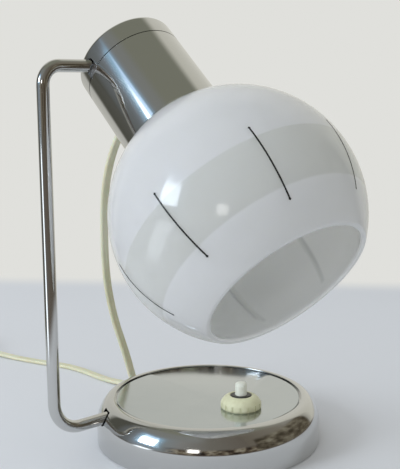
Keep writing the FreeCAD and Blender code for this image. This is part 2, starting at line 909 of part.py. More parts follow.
def head_body():
    """Chromed tube with a rolled foot that bears on the globe and an inner flange for it."""
    body = new_body("head_body")
    bead = S.rim_bead
    turned(body, [
        (S.holder_radius + S.hole_clearance, FLANGE_LOW),
        (HEAD_BORE, FLANGE_LOW),
        (HEAD_BORE, BORE_LOW),
        (S.head_radius, BODY_LOW),
        (S.head_radius, BODY_LOW + bead, bead * 0.62),
        (S.head_radius, BODY_HIGH),
        (HEAD_BORE, BODY_HIGH),
        (HEAD_BORE, FLANGE_HIGH),
        (S.holder_radius + S.hole_clearance, FLANGE_HIGH),
    ])
    slot = S.rod_radius + S.rod_hole_clearance
    notch = new_sketch(body, "YZ_Plane", "RodNotchSketch")
    box_outline(notch, (-slot, BODY_HIGH - S.head_wall * 0.8), (slot, BODY_HIGH + S.head_wall))
    pocket(body, notch, S.head_radius + S.head_wall, "RodNotch")
    hole = new_sketch(body, "XZ_Plane", "FlexHoleSketch")
    circle(hole, grommet_neck() + 2 * FIT, 0.0, -S.flex_exit_drop)
    pocket(body, hole, S.head_radius + S.head_wall, "FlexHole")
    on_head(body)


def head_cap():
    """Chromed cap over the rod, with the slot that the rod comes in by."""
    body = new_body("head_cap")
    turned(body, [
        (HEAD_BORE, CAP_LOW),
        (S.head_radius, CAP_LOW),
        (S.head_radius, S.cap_top - S.cap_edge),
        (S.head_radius - S.cap_edge, S.cap_top, S.cap_edge),
        (0.0, S.cap_top),
        (0.0, S.cap_top - S.head_wall),
        (S.head_radius - S.cap_edge, S.cap_top - S.head_wall),
        (HEAD_BORE, S.cap_top - S.cap_edge, S.head_wall - S.cap_edge),
    ])
    slot = S.rod_radius + S.rod_hole_clearance
    sketch = new_sketch(body, "YZ_Plane", "RodSlotSketch")
    outline(sketch, [
        (slot, 0.0),
        (0.0, slot, slot),
        (-slot, 0.0, slot),
        (-slot, CAP_LOW - S.head_wall),
        (slot, CAP_LOW - S.head_wall),
    ])
    pocket(body, sketch, S.head_radius + S.head_wall, "RodSlot")
    on_head(body)


def saddle(label, radius, low, high):
    """One half of the clamp: a round plate with a trough for the rod and room for its collar."""
    body = new_body(label)
    sketch = new_sketch(body, "XY_Plane", "PlateSketch", low)
    circle(sketch, radius)
    for side in (-1.0, 1.0):
        circle(sketch, S.screw_radius + FIT, 0.0, side * saddle_screw_reach())
    pad(body, sketch, high - low, "Plate")
    lightening = new_sketch(body, "XY_Plane", "HoleSketch", high, turn=45.0)
    circle(lightening, S.head_radius / 6, S.head_radius * 0.64)
    hole = pocket(body, lightening, high - low, "Hole")
    repeat(body, hole, 4, "Holes")
    trough = new_sketch(body, "YZ_Plane", "TroughSketch")
    circle(trough, S.rod_radius + FIT)
    pocket(body, trough, 2 * radius, "Trough", both_ways=True)
    recess = new_sketch(body, "YZ_Plane", "RecessSketch", S.rod_tip + S.seat_gap)
    circle(recess, S.collar_radius + S.seat_gap)
    pocket(body, recess, S.collar_length + 2 * S.seat_gap, "CollarRecess")
    return body


def saddle_screw_reach():
    return S.head_radius / 2


def saddle_lower():
    body = saddle("saddle_lower", HEAD_BORE - S.saddle_play, SADDLE_LOW, -S.saddle_gap)
    sketch = new_sketch(body, "XY_Plane", "TubeHoleSketch", SADDLE_LOW)
    circle(sketch, S.tube_radius + FIT)
    pocket(body, sketch, TUBE_HIGH - SADDLE_LOW, "TubeHole", other_way=True)
    on_head(body)


def saddle_upper():
    radius = S.head_radius - S.cap_edge - S.saddle_play
    on_head(saddle("saddle_upper", radius, S.saddle_gap, S.cap_top - S.head_wall))


def saddle_screws():
    items = []
    for index, side in enumerate((-1.0, 1.0)):
        at = (0.0, side * saddle_screw_reach(), SADDLE_LOW)
        length = S.cap_top - S.head_wall - S.seat_gap - SADDLE_LOW
        items.append(screw(f"SaddleScrew{index}", at, length))
    on_head(group("saddle_screws", items))


def support_tube():
    """Threaded tube that hangs the lampholder from the clamp."""
    tube = cylinder("TubeOuter", S.tube_radius, S.tube_length, (0.0, 0.0, TUBE_LOW))
    bore = cylinder("TubeInner", S.tube_bore, S.tube_length, (0.0, 0.0, TUBE_LOW))
    on_head(as_piece(cut("support_tube", tube, bore), "support_tube"))


def holder_dome():
    """Cover of the lampholder, screwed on the tube; the flex enters it by a side hole."""
    body = new_body("holder_dome")
    wall = 2 * S.head_wall
    hub = S.tube_radius + FIT
    skirt = S.holder_radius - wall / 2
    high = TUBE_LOW + 3 * S.head_wall
    knee = HOLDER_HIGH + 5 * S.head_wall
    turned(body, [
        (hub, high - wall),
        (2 * hub - wall / 2, high - wall),
        (skirt - wall, knee - wall / 2),
        (skirt - wall, HOLDER_HIGH),
        (skirt, HOLDER_HIGH),
        (skirt, knee),
        (2 * hub, high),
        (hub, high),
    ])
    hole = new_sketch(body, "XY_Plane", "LeadHoleSketch", high)
    circle(hole, S.flex_width / 2 + S.hole_clearance, 0.0, lead_out())
    pocket(body, hole, high - HOLDER_HIGH, "LeadHole")
    on_head(body)


def lead_out():
    return S.tube_radius + 1.6 * S.flex_width


def lampholder():
    """Moulded lampholder: its collar stands on the head's flange, its skirt goes through."""
    body = new_body("lampholder")
    bore = SOCKET_RADIUS + FIT
    turned(body, [
        (bore, HOLDER_LOW),
        (S.holder_radius, HOLDER_LOW),
        (S.holder_radius, FLANGE_HIGH),
        (S.holder_collar, FLANGE_HIGH),
        (S.holder_collar, FLANGE_HIGH + 2 * S.head_wall),
        (S.holder_radius, FLANGE_HIGH + 2 * S.head_wall),
        (S.holder_radius, HOLDER_HIGH),
        (0.0, HOLDER_HIGH),
        (0.0, CONTACT_HIGH),
        (bore, CONTACT_HIGH),
    ])
    on_head(body)


def socket_shell():
    """Brass shell that the bulb screws into."""
    body = new_body("socket_shell")
    inner = S.thread_radius + S.socket_fit
    high = CONTACT_HIGH - FIT
    turned(body, [
        (inner, HOLDER_LOW + S.head_wall),
        (SOCKET_RADIUS, HOLDER_LOW + S.head_wall),
        (SOCKET_RADIUS, high),
        (inner * 0.6, high),
        (inner * 0.6, high - S.socket_wall),
        (inner, high - S.socket_wall),
    ])
    on_head(body)


def socket_contact():
    """Brass contact in the middle of the holder."""
    height = S.head_wall * 1.5
    pin = cylinder("ContactPin", S.tube_bore, height)
    on_head(as_piece(pin, "socket_contact"), (0.0, 0.0, CONTACT_HIGH - height))


def shade_ring():
    """Ring screwed on the lampholder's skirt inside the globe, with grips round its edge."""
    body = new_body("shade_ring")
    high = GLOBE_Z + leg(S.globe_radius - S.globe_wall, S.ring_radius) - S.seat_gap
    low = high - S.ring_height
    turned(body, [
        (S.holder_radius + FIT, low),
        (S.ring_radius - S.ring_height / 6, low),
        (S.ring_radius, low + S.ring_height / 6),
        (S.ring_radius, high),
        (S.holder_radius + FIT, high),
    ])
    grip = new_sketch(body, "XY_Plane", "GripSketch", low)
    circle(grip, S.ring_height / 2, S.ring_radius + S.ring_height / 4)
    repeat(body, pocket(body, grip, S.ring_height, "Grip", other_way=True), 12, "Grips")
    on_head(body)


def globe():
    """Blown glass globe: small neck above, wide ground mouth below."""
    body = new_body("globe")
    inside = S.globe_radius - S.globe_wall
    mouth = GLOBE_Z - S.mouth_drop
    turned(body, [
        (leg(inside, S.mouth_drop), mouth, -inside),
        (leg(S.globe_radius, S.mouth_drop), mouth),
        (S.neck_radius, NECK_HIGH, S.globe_radius),
        (S.neck_radius, GLOBE_Z + leg(inside, S.neck_radius)),
    ])
    rim_height = number(mouth)
    round_edges(body, S.globe_wall / 3, "MouthRound", lambda edge: at_height(edge, rim_height))
    on_head(body)


def at_height(edge, height):
    """Whether a whole-circle edge lies at this height."""
    box_ = edge.BoundBox
    return box_.ZLength < 1e-6 and abs(box_.ZMin - height) < 1e-3


CAP_LENGTH = S.thread_radius * 1.9
CONTACT_TIP = CONTACT_HIGH - S.head_wall * 1.5 - FIT
BULB_CAP_LOW = CONTACT_TIP - CAP_LENGTH
BULB_Z = BULB_CAP_LOW - S.bulb_radius * 1.06


def bulb_glass():
    """Round lamp bulb, open where it is cemented into its cap."""
    body = new_body("bulb_glass")
    wall = S.socket_wall * 1.6
    inside = S.bulb_radius - wall
    throat = S.thread_radius - 2 * S.socket_wall - FIT
    join = throat + S.head_wall
    turned(body, [
        (0.0, BULB_Z - S.bulb_radius),
        (leg(S.bulb_radius, S.bulb_radius / 2), BULB_Z - S.bulb_radius / 2, S.bulb_radius),
        (join, BULB_Z + leg(S.bulb_radius, join), S.bulb_radius),
        (throat, BULB_CAP_LOW + S.head_wall * 3),
        (throat - wall, BULB_CAP_LOW + S.head_wall * 3),
        (join - wall, BULB_Z + leg(inside, join - wall)),
        (leg(inside, S.bulb_radius / 2), BULB_Z - S.bulb_radius / 2, -inside),
        (0.0, BULB_Z - inside, -inside),
    ])
    on_head(body)


def bulb_cap():
    """Screw cap of the bulb."""
    body = new_body("bulb_cap")
    wall = S.socket_wall
    radius = S.thread_radius
    tip = radius * 0.32
    turned(body, [
        (0.0, CONTACT_TIP - 2 * wall),
        (tip, CONTACT_TIP - 2 * wall),
        (radius - 3 * wall, CONTACT_TIP - radius * 0.36),
        (radius - wall, CONTACT_TIP - radius * 0.45),
        (radius - wall, BULB_CAP_LOW),
        (radius, BULB_CAP_LOW),
        (radius, CONTACT_TIP - radius * 0.4),
        (radius - 2 * wall, CONTACT_TIP - radius * 0.24),
        (tip + wall, CONTACT_TIP),
        (0.0, CONTACT_TIP),
    ])
    on_head(body)


# Grommets: rubber rings with the flex's hole, seated in the base's rim and in the head

def grommet(label, wall):
    """Face outside the wall, neck through it, and a lip behind it."""
    body = new_body(label)
    bore = S.flex_width / 2 + FIT
    neck = grommet_neck()
    lip = neck + 2 * S.hole_clearance
    behind = -wall - 2 * S.hole_clearance
    turned(body, [
        (bore, behind - wall),
        (lip, behind - wall),
        (lip, behind),
        (neck, behind),
        (neck, FIT),
        (S.grommet_radius, FIT),
        (S.grommet_radius - S.grommet_face / 3, S.grommet_face + FIT),
        (bore, S.grommet_face + FIT),
    ])
    return body


def exit_direction(angle):
    turn = math.radians(number(angle))
    return Vector(math.sin(turn), math.cos(turn), 0.0)


def base_grommets():
    for label, angle in (("flex_grommet", S.flex_angle), ("mains_grommet", S.mains_angle)):
        body = grommet(label, S.shell_wall)
        spot = exit_direction(angle) * number(S.base_radius)
        spot.z = number(S.flex_hole_height)
        facing = Rotation(Vector(0, 0, 1), -number(angle)) * Rotation(Vector(1, 0, 0), -90.0)
        body.Placement = Placement(spot, facing)


def head_frame():
    """The head's own frame: origin on the rod's centre line, Z up the head's axis."""
    spot = Vector(number(PIVOT_X), number(S.rod_back), number(S.rod_high))
    return Placement(spot, Rotation(Vector(1, 0, 0), -number(S.head_tilt)))


def head_grommet():
    body = grommet("head_grommet", S.head_wall)
    spot = Vector(0.0, number(S.head_radius), -number(S.flex_exit_drop))
    body.Placement = head_frame() * Placement(spot, Rotation(Vector(1, 0, 0), -90.0))


# Flexes: the route's points are chosen by hand, as it hangs and lies

def along_route(points):
    """Straight runs joined by tangent arcs, each as large as its two runs allow."""
    count = len(points)
    edges = []
    radii = []
    start = points[0]
    for index in range(1, count - 1):
        corner = points[index]
        back = points[index - 1] - corner
        ahead = points[index + 1] - corner
        turn = math.pi - back.getAngle(ahead)
        reach = 0.45 * min(back.Length, ahead.Length)
        radii.append(reach / math.tan(turn / 2))
        arc_start = corner + Vector(back).normalize() * reach
        arc_end = corner + Vector(ahead).normalize() * reach
        inward = (Vector(back).normalize() + Vector(ahead).normalize()).normalize()
        middle = corner + inward * (radii[-1] / math.cos(turn / 2) - radii[-1])
        edges.append(Part.LineSegment(start, arc_start).toShape())
        edges.append(Part.Arc(arc_start, middle, arc_end).toShape())
        start = arc_end
    edges.append(Part.LineSegment(start, points[-1]).toShape())
    return edges, radii


def sweep(label, edges, radius, note):
    """A round bar along tangent edges, with its volume held against section times length."""
    wire = Part.Wire(edges)
    first = edges[0]
    start = first.valueAt(first.FirstParameter)
    heading = first.tangentAt(first.FirstParameter)
    profile = Part.Wire(Part.makeCircle(radius, start, heading))
    shape = wire.makePipeShell([profile], True, False)
    expected = math.pi * radius * radius * wire.Length
    print(f"{label}: length {wire.Length:.1f}, volume {shape.Volume / expected:.4f} of section "
          f"times length, {note}")
    piece = doc.addObject("Part::Feature", label)
    piece.Shape = shape
    return as_piece(piece, label)


def tube(label, points):
    edges, radii = along_route(points)
    listed = " ".join(f"{radius:.0f}" for radius in radii)
    return sweep(label, edges, number(S.flex_width) / 2, f"bend radii {listed or 'none'}")


def exit_spot(angle, out):
    """A point on a flex's way out of the base, this far from the shell."""
    spot = exit_direction(angle) * (number(S.base_radius) + out)
    spot.z = number(S.flex_hole_height)
    return spot


FACE_OUT = number(S.grommet_face + FIT)


def head_flex():
    """Flex from the back of the head, hanging free in one belly to the back of the base."""
    out, first = [
        head_frame().multVec(Vector(0.0, number(S.head_radius) + reach, -number(S.flex_exit_drop)))
        for reach in (FACE_OUT, FACE_OUT + 12.0)]
    middle = [
        first, Vector(-30.0, 49.5, 150.0), Vector(-25.3, 60.5, 132.6),
        Vector(-19.7, 69.6, 114.0), Vector(-14.6, 77.0, 94.0), Vector(-9.9, 81.3, 73.0),
        Vector(-6.0, 80.3, 52.5), Vector(-2.4, 76.8, 36.5), Vector(0.5, 75.2, 24.0),
        Vector(2.6, 74.4, 14.6), Vector(3.8, 71.6, 9.2), exit_spot(S.flex_angle, FACE_OUT + 3.9),
    ]
    tube("head_flex", [out] + middle + [exit_spot(S.flex_angle, FACE_OUT)])


def mains_flex():
    """Flex from the back of the base, lying on the table as far as the coil."""
    middle = [
        exit_spot(S.mains_angle, FACE_OUT + 7.0), Vector(17.9, 79.0, 4.4), Vector(16.6, 91.0, 3.0),
        Vector(13.6, 104.0, 2.65),
        Vector(11.3, 121.0, 2.65), Vector(11.6, 141.0, 2.65), Vector(8.6, 161.0, 2.65),
        Vector(-0.6, 181.0, 2.65), Vector(-8.6, 203.0, 2.65), Vector(-14.2, 223.0, 2.65),
        coil_lead(16.0),
    ]
    tube("mains_flex", [exit_spot(S.mains_angle, FACE_OUT)] + middle + [coil_lead(0.0)])


# The put-away length: two layers of turns, wound in below and out again above

COIL_CENTRE = Vector(-58.0, 262.0, 0.0)
TURNS_IN = 4.0
TURNS_OUT = 4.0
COIL_TURNS = TURNS_IN + 0.5 + TURNS_OUT


def coil_step():
    return number(S.flex_width + S.coil_gap)


def coil_point(turn):
    """The coil's centre line after so many turns from its start on the +X side."""
    step = coil_step()
    low = number(S.flex_width) / 2 + 0.05
    reversal = TURNS_IN + 0.5
    inmost = number(S.coil_radius) - step * reversal
    if turn <= reversal:
        radius = number(S.coil_radius) - step * turn
    else:
        beyond = turn - reversal
        radius = inmost + step * (beyond + min(beyond, 0.5))
    climb = min(max((turn - TURNS_IN) / 0.5, 0.0), 1.0)
    height = low + step * (3 * climb * climb - 2 * climb * climb * climb)
    angle = 2 * math.pi * turn
    return COIL_CENTRE + Vector(radius * math.cos(angle), radius * math.sin(angle), height)


def coil_heading(turn):
    small = 1e-4
    return (coil_point(turn + small) - coil_point(turn - small)).normalize()


def arc_from(start, heading, end):
    """The arc that leaves a point along a heading and reaches another point."""
    chord = end - start
    across = Vector(chord).normalize()
    half_way = (across + heading).normalize()
    middle = start + half_way * (chord.Length / (2 * half_way.dot(across)))
    return Part.Arc(start, middle, end).toShape()


def biarc(start, heading, end, arrival):
    """Two tangent arcs between two points with given headings."""
    chord = end - start
    both = heading + arrival
    bend = 2 * (1 - heading.dot(arrival))
    along = chord.dot(both)
    reach = (-along + math.sqrt(along * along + bend * chord.dot(chord))) / bend
    join = (start + end + (heading - arrival) * reach) * 0.5
    back = arc_from(end, arrival * -1.0, join)
    return [arc_from(start, heading, join), Part.Arc(join, back.valueAt(middle_of(back)), end).toShape()]


def middle_of(edge):
    return (edge.FirstParameter + edge.LastParameter) / 2


def coil_edges():
    quarters = int(COIL_TURNS * 4)
    edges = []
    for index in range(quarters):
        start, end = index / 4.0, (index + 1) / 4.0
        edges += biarc(coil_point(start), coil_heading(start), coil_point(end), coil_heading(end))
    return edges


def coil_self_gap():
    """Least gap between stretches of the coil that aren't next to each other, on points."""
    per_turn = 48
    points = [coil_point(index / per_turn) for index in range(int(COIL_TURNS * per_turn) + 1)]
    apart = per_turn // 4
    least = min(points[i].distanceToPoint(points[j])
                for i in range(len(points)) for j in range(i + apart, len(points)))
    return least - number(S.flex_width)


def coil_lead(back):
    """A point on the straight line by which the flex comes in to the coil."""
    return coil_point(0.0) - coil_heading(0.0) * (number(S.flex_width) + back)


def coil_end():
    """Where the straight end of the coil's tube stops, and the way it points."""
    heading = coil_heading(COIL_TURNS)
    heading.z = 0.0
    heading.normalize()
    return coil_point(COIL_TURNS) + heading * number(S.flex_width), heading


def mains_coil():
    end, heading = coil_end()
    lead_in = Part.LineSegment(coil_lead(0.0), coil_point(0.0)).toShape()
    lead_out = Part.LineSegment(coil_point(COIL_TURNS), end).toShape()
    edges = [lead_in] + coil_edges() + [lead_out]
    gap = coil_self_gap()
    sweep("mains_coil", edges, number(S.flex_width) / 2, f"least self gap {gap:.2f}")


def mains_tail():
    """Last stretch of the mains flex, from the coil down to the plug."""
    end, heading = coil_end()
    plug = plug_entry()
    drop = plug.z - end.z
    first = end + heading * 9.0
    second = end + heading * 18.0 + Vector(1.0, 0, drop)
    tube("mains_tail", [end, first, second, plug])


def plug_entry():
    end, heading = coil_end()
    return Vector(end.x + 0.6, end.y - 27.0, number(S.plug_thick) / 2)


def plug():
    """Flat two-pin plug lying beside the coil, with the taper that relieves the flex."""
    body = new_body("plug_body")
    relief = 14.0
    front = -S.plug_length - relief
    half = S.plug_width / 2
    sketch = new_sketch(body, "XY_Plane", "PlugOutline")
    outline(sketch, [
        (-half * 0.36, -relief),
        (-half * 0.86, -relief - S.plug_length * 0.44),
        (-half, -relief - S.plug_length * 0.72),
        (-half * 0.78, front),
        (half * 0.78, front),
        (half, -relief - S.plug_length * 0.72),
        (half * 0.86, -relief - S.plug_length * 0.44),
        (half * 0.36, -relief),
    ])
    pad(body, sketch, S.plug_thick, "PlugShell", both_ways=True)
    round_edges(body, S.plug_thick / 5, "EdgeRound", lambda edge: edge.BoundBox.ZLength < 1e-6)
    wide = new_sketch(body, "XZ_Plane", "ReliefWide", relief + 0.5)
    circle(wide, S.flex_width * 0.85)
    narrow = new_sketch(body, "XZ_Plane", "ReliefNarrow", 0.0)
    circle(narrow, S.flex_width * 0.6)
    doc.recompute()
    loft = body.newObject("PartDesign::AdditiveLoft", "Relief")
    loft.Profile = wide
    loft.Sections = [narrow]
    doc.recompute()
    spot = plug_entry()
    place(body, (spot.x, spot.y, S.plug_thick / 2))
    pins = []
    for index, side in enumerate((-0.5, 0.5)):
        at = (spot.x + side * S.pin_spacing, spot.y + front, S.plug_thick / 2)
        pins.append(cylinder(f"Pin{index}", S.pin_radius, S.pin_length, at, (1, 0, 0), 90.0))
    group("plug_pins", pins)


# Hidden lengths of flex inside the base and the head

def flex_tails():
    """Both flexes inside the base, from their grommets to the terminal block."""
    items = []
    for index, angle in enumerate((S.flex_angle, S.mains_angle)):
        outer = exit_spot(angle, FACE_OUT)
        inner_radius = tail_end_radius(angle)
        inner = exit_direction(angle) * inner_radius
        inner.z = outer.z
        bar = Part.makeCylinder(number(S.flex_width) / 2, (outer - inner).Length, inner, outer - inner)
        item = doc.addObject("Part::Feature", f"FlexTail{index}")
        item.Shape = bar
        items.append(item)
    group("flex_tails", items)


def tail_end_radius(angle):
    """Radius at which a flex reaches the terminal block's back face, with a little room."""
    turn = math.radians(abs(number(angle) - number(EXIT_ANGLE)))
    slope = math.tan(turn) * number(S.flex_width) / 2
    return (number(terminal_back()) + 0.1) / math.cos(turn) + slope


def lampholder_lead():
    """The flex inside the head, from the grommet into the lampholder's cover."""
    out = Vector(0.0, number(S.head_radius) + FACE_OUT, -number(S.flex_exit_drop))
    corner = Vector(0.0, number(lead_out()), out.z)
    inside = Vector(0.0, corner.y, number(HOLDER_HIGH) + 1.0)
    piece = tube("lampholder_lead", [out, corner, inside])
    piece.Placement = head_frame()


def spring_turns():
    return 6


def switch_spring():
    """Steel spring that lifts the button."""
    wire = number(S.spring_wire) / 2
    low = number(CAVITY_LOW) + wire + 0.05
    high = number(COLLAR_LOW) - wire - 0.05
    mean = number(S.button_radius) + 3 * wire
    turns = spring_turns()
    rise = (high - low) / (turns * 4)
    edges = []
    for index in range(turns * 4):
        ends = []
        for quarter in (index, index + 1):
            angle = quarter * math.pi / 2
            point = Vector(mean * math.cos(angle), mean * math.sin(angle), low + rise * quarter)
            slope = rise / (mean * math.pi / 2)
            heading = Vector(-math.sin(angle), math.cos(angle), slope).normalize()
            ends += [point, heading]
        edges += biarc(*ends)
    piece = sweep("switch_spring", edges, wire, f"{turns} turns")
    piece.Placement = Placement(Vector(0.0, -number(S.switch_front), 0.0), Rotation())


def build():
    for make in (base_shell, top_disc, base_weight, bottom_cover, felt_pad, pillars, cover_screws,
                 rod_block, rod_block_screws, terminal_block, terminal_screws, cord_clamp,
                 cord_clamp_screws, switch_body, switch_bush, switch_nut, switch_button,
                 switch_spring, switch_tags, rod, rod_collar, head_body, head_cap, saddle_lower,
                 saddle_upper, saddle_screws, support_tube, holder_dome, lampholder, socket_shell,
                 socket_contact, shade_ring, globe, bulb_glass, bulb_cap, base_grommets,
                 head_grommet, head_flex, mains_flex, mains_coil, mains_tail, plug, flex_tails,
                 lampholder_lead):
        make()
    doc.recompute()


def check_and_write():
    """Stop on any failed object or bad solid, then write one file per piece."""
    for item in doc.Objects:
        if "Invalid" in item.State or "Error" in item.State:
            raise RuntimeError(f"{item.Name} failed: {item.State}")
    for piece in PIECES:
        if piece.Shape.isNull() or not piece.Shape.isValid() or not piece.Shape.Solids:
            raise RuntimeError(f"{piece.Label} has no valid solid")
    os.makedirs("parts", exist_ok=True)
    for piece in PIECES:
        piece.Shape.exportStep(f"parts/{piece.Label}.step")
    print(f"{len(PIECES)} pieces written")


build()
check_and_write()
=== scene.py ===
"""Table lamp with a white glass globe: the looks round the lamp's own frame, in metres."""
import bpy
import math

from mathutils import Matrix, Vector


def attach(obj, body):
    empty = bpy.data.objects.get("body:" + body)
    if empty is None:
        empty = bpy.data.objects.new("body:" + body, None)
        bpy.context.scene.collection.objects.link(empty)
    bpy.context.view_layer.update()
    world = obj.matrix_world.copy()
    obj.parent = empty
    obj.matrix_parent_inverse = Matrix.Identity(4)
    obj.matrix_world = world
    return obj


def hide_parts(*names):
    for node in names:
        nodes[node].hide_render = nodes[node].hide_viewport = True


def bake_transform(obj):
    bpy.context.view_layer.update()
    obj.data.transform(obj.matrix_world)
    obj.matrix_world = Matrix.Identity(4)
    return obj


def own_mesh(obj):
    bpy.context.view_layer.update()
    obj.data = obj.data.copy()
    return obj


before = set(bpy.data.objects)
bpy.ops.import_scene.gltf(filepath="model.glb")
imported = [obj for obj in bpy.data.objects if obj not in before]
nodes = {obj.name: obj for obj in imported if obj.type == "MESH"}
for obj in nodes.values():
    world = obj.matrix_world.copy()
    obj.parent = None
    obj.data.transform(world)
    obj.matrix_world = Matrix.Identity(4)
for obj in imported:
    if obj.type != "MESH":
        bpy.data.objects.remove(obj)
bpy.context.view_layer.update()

# Chromed sheet: the pressed base shell, the bent rod, and the head's tube and cap.
# Polished nickel-chrome plate on steel, with fine wipe marks and a few rust pits.

CHROME = (0.62, 0.62, 0.61, 1.0)
PIT = (0.10, 0.08, 0.06, 1.0)
PIT_CELLS = 210.0
PIT_REACH = 0.16
CRISP_ANGLE = math.radians(28)
WELD_REACH = 1e-6


def node_adder(tree):
    """A helper that adds a node to this tree, with its settings and what goes into its inputs."""
    def node(kind, inputs=None, **settings):
        made = tree.nodes.new(kind)
        for key, value in settings.items():
            setattr(made, key, value)
        for key, value in (inputs or {}).items():
            if isinstance(value, bpy.types.NodeSocket):
                tree.links.new(value, made.inputs[key])
            else:
                made.inputs[key].default_value = value
        return made

    return node


def new_material(name):
    """A finish with its shader, a helper that adds nodes to it and one that links them."""
    material = bpy.data.materials.new(name)
    material.use_nodes = True
    tree = material.node_tree
    return material, tree.nodes["Principled BSDF"], node_adder(tree), tree.links.new


def object_place(node):
    """The place on a piece, in metres, in the lamp's frame."""
    return node("ShaderNodeTexCoord").outputs["Object"]


def maths(node, operation, *values):
    """The result of a sum over values or sockets."""
    return node("ShaderNodeMath", dict(enumerate(values)), operation=operation).outputs[0]


def noise(node, place, scale, detail, roughness=0.5):
    """An uneven pattern from 0 to 1, with scale patches to the metre."""
    settings = {"Vector": place, "Scale": scale, "Detail": detail, "Roughness": roughness}
    return node("ShaderNodeTexNoise", settings).outputs["Fac"]


def ramp(node, value, stops):
    """A colour ramp over a value, from (place, colour) stops."""
    made = node("ShaderNodeValToRGB", {"Fac": value})
    band = made.color_ramp.elements
    while len(band) < len(stops):
        band.new(0.5)
    for element, (place, colour) in zip(band, stops):
        element.position = place
        element.color = colour if hasattr(colour, "__len__") else (colour, colour, colour, 1.0)
    return made.outputs["Color"]


def over(node, share, under, colour):
    """A colour laid over another where a share is 1."""
    return node("ShaderNodeMix", {"Factor": share, 6: under, 7: colour}, data_type="RGBA").outputs[2]


def relief(node, link, shader, pattern, strength, depth):
    """Give a finish a slight relief from a pattern."""
    bump = node("ShaderNodeBump", {"Height": pattern, "Strength": strength, "Distance": depth})
    link(bump.outputs["Normal"], shader.inputs["Normal"])


def chrome(name, pits=0.0, polish=0.06):
    """Chrome plate with wipe marks; pits is the share of the cells that hold a rust pit."""
    material, shader, node, link = new_material(name)
    place = object_place(node)
    wipe = noise(node, place, 55.0, 6.0, 0.6)
    rough = ramp(node, wipe, [(0.30, polish), (0.75, polish * 1.9)])
    link(rough, shader.inputs["Roughness"])
    shader.inputs["Metallic"].default_value = 1.0
    cells = node("ShaderNodeTexVoronoi", {"Vector": place, "Scale": PIT_CELLS})
    chosen = maths(node, "GREATER_THAN", cells.outputs["Color"], 1.0 - pits)
    near = maths(node, "LESS_THAN", cells.outputs["Distance"], PIT_REACH)
    spot = maths(node, "MULTIPLY", chosen, near)
    link(over(node, spot, CHROME, PIT), shader.inputs["Base Color"])
    wave = noise(node, place, 18.0, 2.0)
    relief(node, link, shader, wave, 0.04, 0.0006)
    return material


def dress(name, material):
    """Give a CAD node its finish, with soft shading over its curves and crisp edges."""
    piece = nodes[name]
    piece.data.materials.clear()
    piece.data.materials.append(material)
    for face in piece.data.polygons:
        face.use_smooth = True
    weld = piece.modifiers.new("Weld", "WELD")
    weld.merge_threshold = WELD_REACH
    split = piece.modifiers.new("Crisp", "EDGE_SPLIT")
    split.split_angle = CRISP_ANGLE


shell_chrome = chrome("shell_chrome", pits=0.012)
dress("base_shell", shell_chrome)
dress("rod", chrome("rod_chrome"))
head_chrome = chrome("head_chrome", pits=0.004)
dress("head_body", head_chrome)
dress("head_cap", head_chrome)

# The disc in the top of the base: thin sheet, held from below on pillars. Its satin polish was
# turned in fine rings round its middle, and it still mirrors the switch.

material, shader, node, link = new_material("satin_disc")
place = object_place(node)
shader.inputs["Metallic"].default_value = 1.0
grain = noise(node, place, 900.0, 3.0)
cloud = noise(node, place, 30.0, 4.0)
link(ramp(node, cloud, [(0.3, 0.13), (0.8, 0.19)]), shader.inputs["Roughness"])
link(ramp(node, cloud, [(0.2, (0.52, 0.555, 0.57, 1)), (0.8, (0.58, 0.61, 0.62, 1))]),
     shader.inputs["Base Color"])
relief(node, link, shader, grain, 0.05, 0.0002)
shader.inputs["Anisotropic"].default_value = 0.5
turned = node("ShaderNodeTangent", direction_type="RADIAL", axis="Z")
link(turned.outputs[0], shader.inputs["Tangent"])
dress("top_disc", material)

# Moulded parts: the ivory nut and button, gone yellow and dirty in their notches, and the
# black pieces of the switch, the cord clamp and the lampholder.


def moulded(name, colour, dirt, rough=0.35, speck=0.5):
    """Moulded plastic with uneven ageing, dirt in patches and a slight orange-peel surface."""
    material, shader, node, link = new_material(name)
    place = object_place(node)
    age = noise(node, place, 160.0, 5.0, 0.65)
    link(ramp(node, age, [(0.5 - speck / 2, colour), (0.5 + speck / 2, dirt)]),
         shader.inputs["Base Color"])
    link(ramp(node, age, [(0.3, rough * 0.8), (0.7, rough * 1.3)]),
         shader.inputs["Roughness"])
    peel = noise(node, place, 1400.0, 2.0)
    relief(node, link, shader, peel, 0.12, 0.0002)
    return material


black = moulded("black_moulding", (0.012, 0.012, 0.012, 1), (0.03, 0.028, 0.025, 1))
for name in ("switch_bush", "switch_body", "lampholder", "shade_ring", "holder_dome", "cord_clamp"):
    dress(name, black)
dress("switch_nut", moulded("nut_ivory", (0.80, 0.81, 0.58, 1), (0.62, 0.60, 0.38, 1), speck=0.6))
dress("switch_button", moulded("button_ivory", (0.84, 0.86, 0.79, 1), (0.72, 0.72, 0.60, 1)))
dress("terminal_block", moulded("block_cream", (0.72, 0.69, 0.58, 1), (0.60, 0.56, 0.44, 1)))

# Bare metal inside the lamp and under it: steel screws, cover, clamp block and tube, cast saddles,
# turned brass fittings, and the cast iron weight that keeps the base down.


def bare_metal(name, light, dark, rough, scale=300.0):
    """Unpolished metal, mottled from a light to a dark colour."""
    material, shader, node, link = new_material(name)
    place = object_place(node)
    shader.inputs["Metallic"].default_value = 1.0
    mottle = noise(node, place, scale, 5.0)
    link(ramp(node, mottle, [(0.35, light), (0.7, dark)]), shader.inputs["Base Color"])
    link(ramp(node, mottle, [(0.3, rough), (0.7, rough * 1.5)]), shader.inputs["Roughness"])
    relief(node, link, shader, mottle, 0.1, 0.0002)
    return material


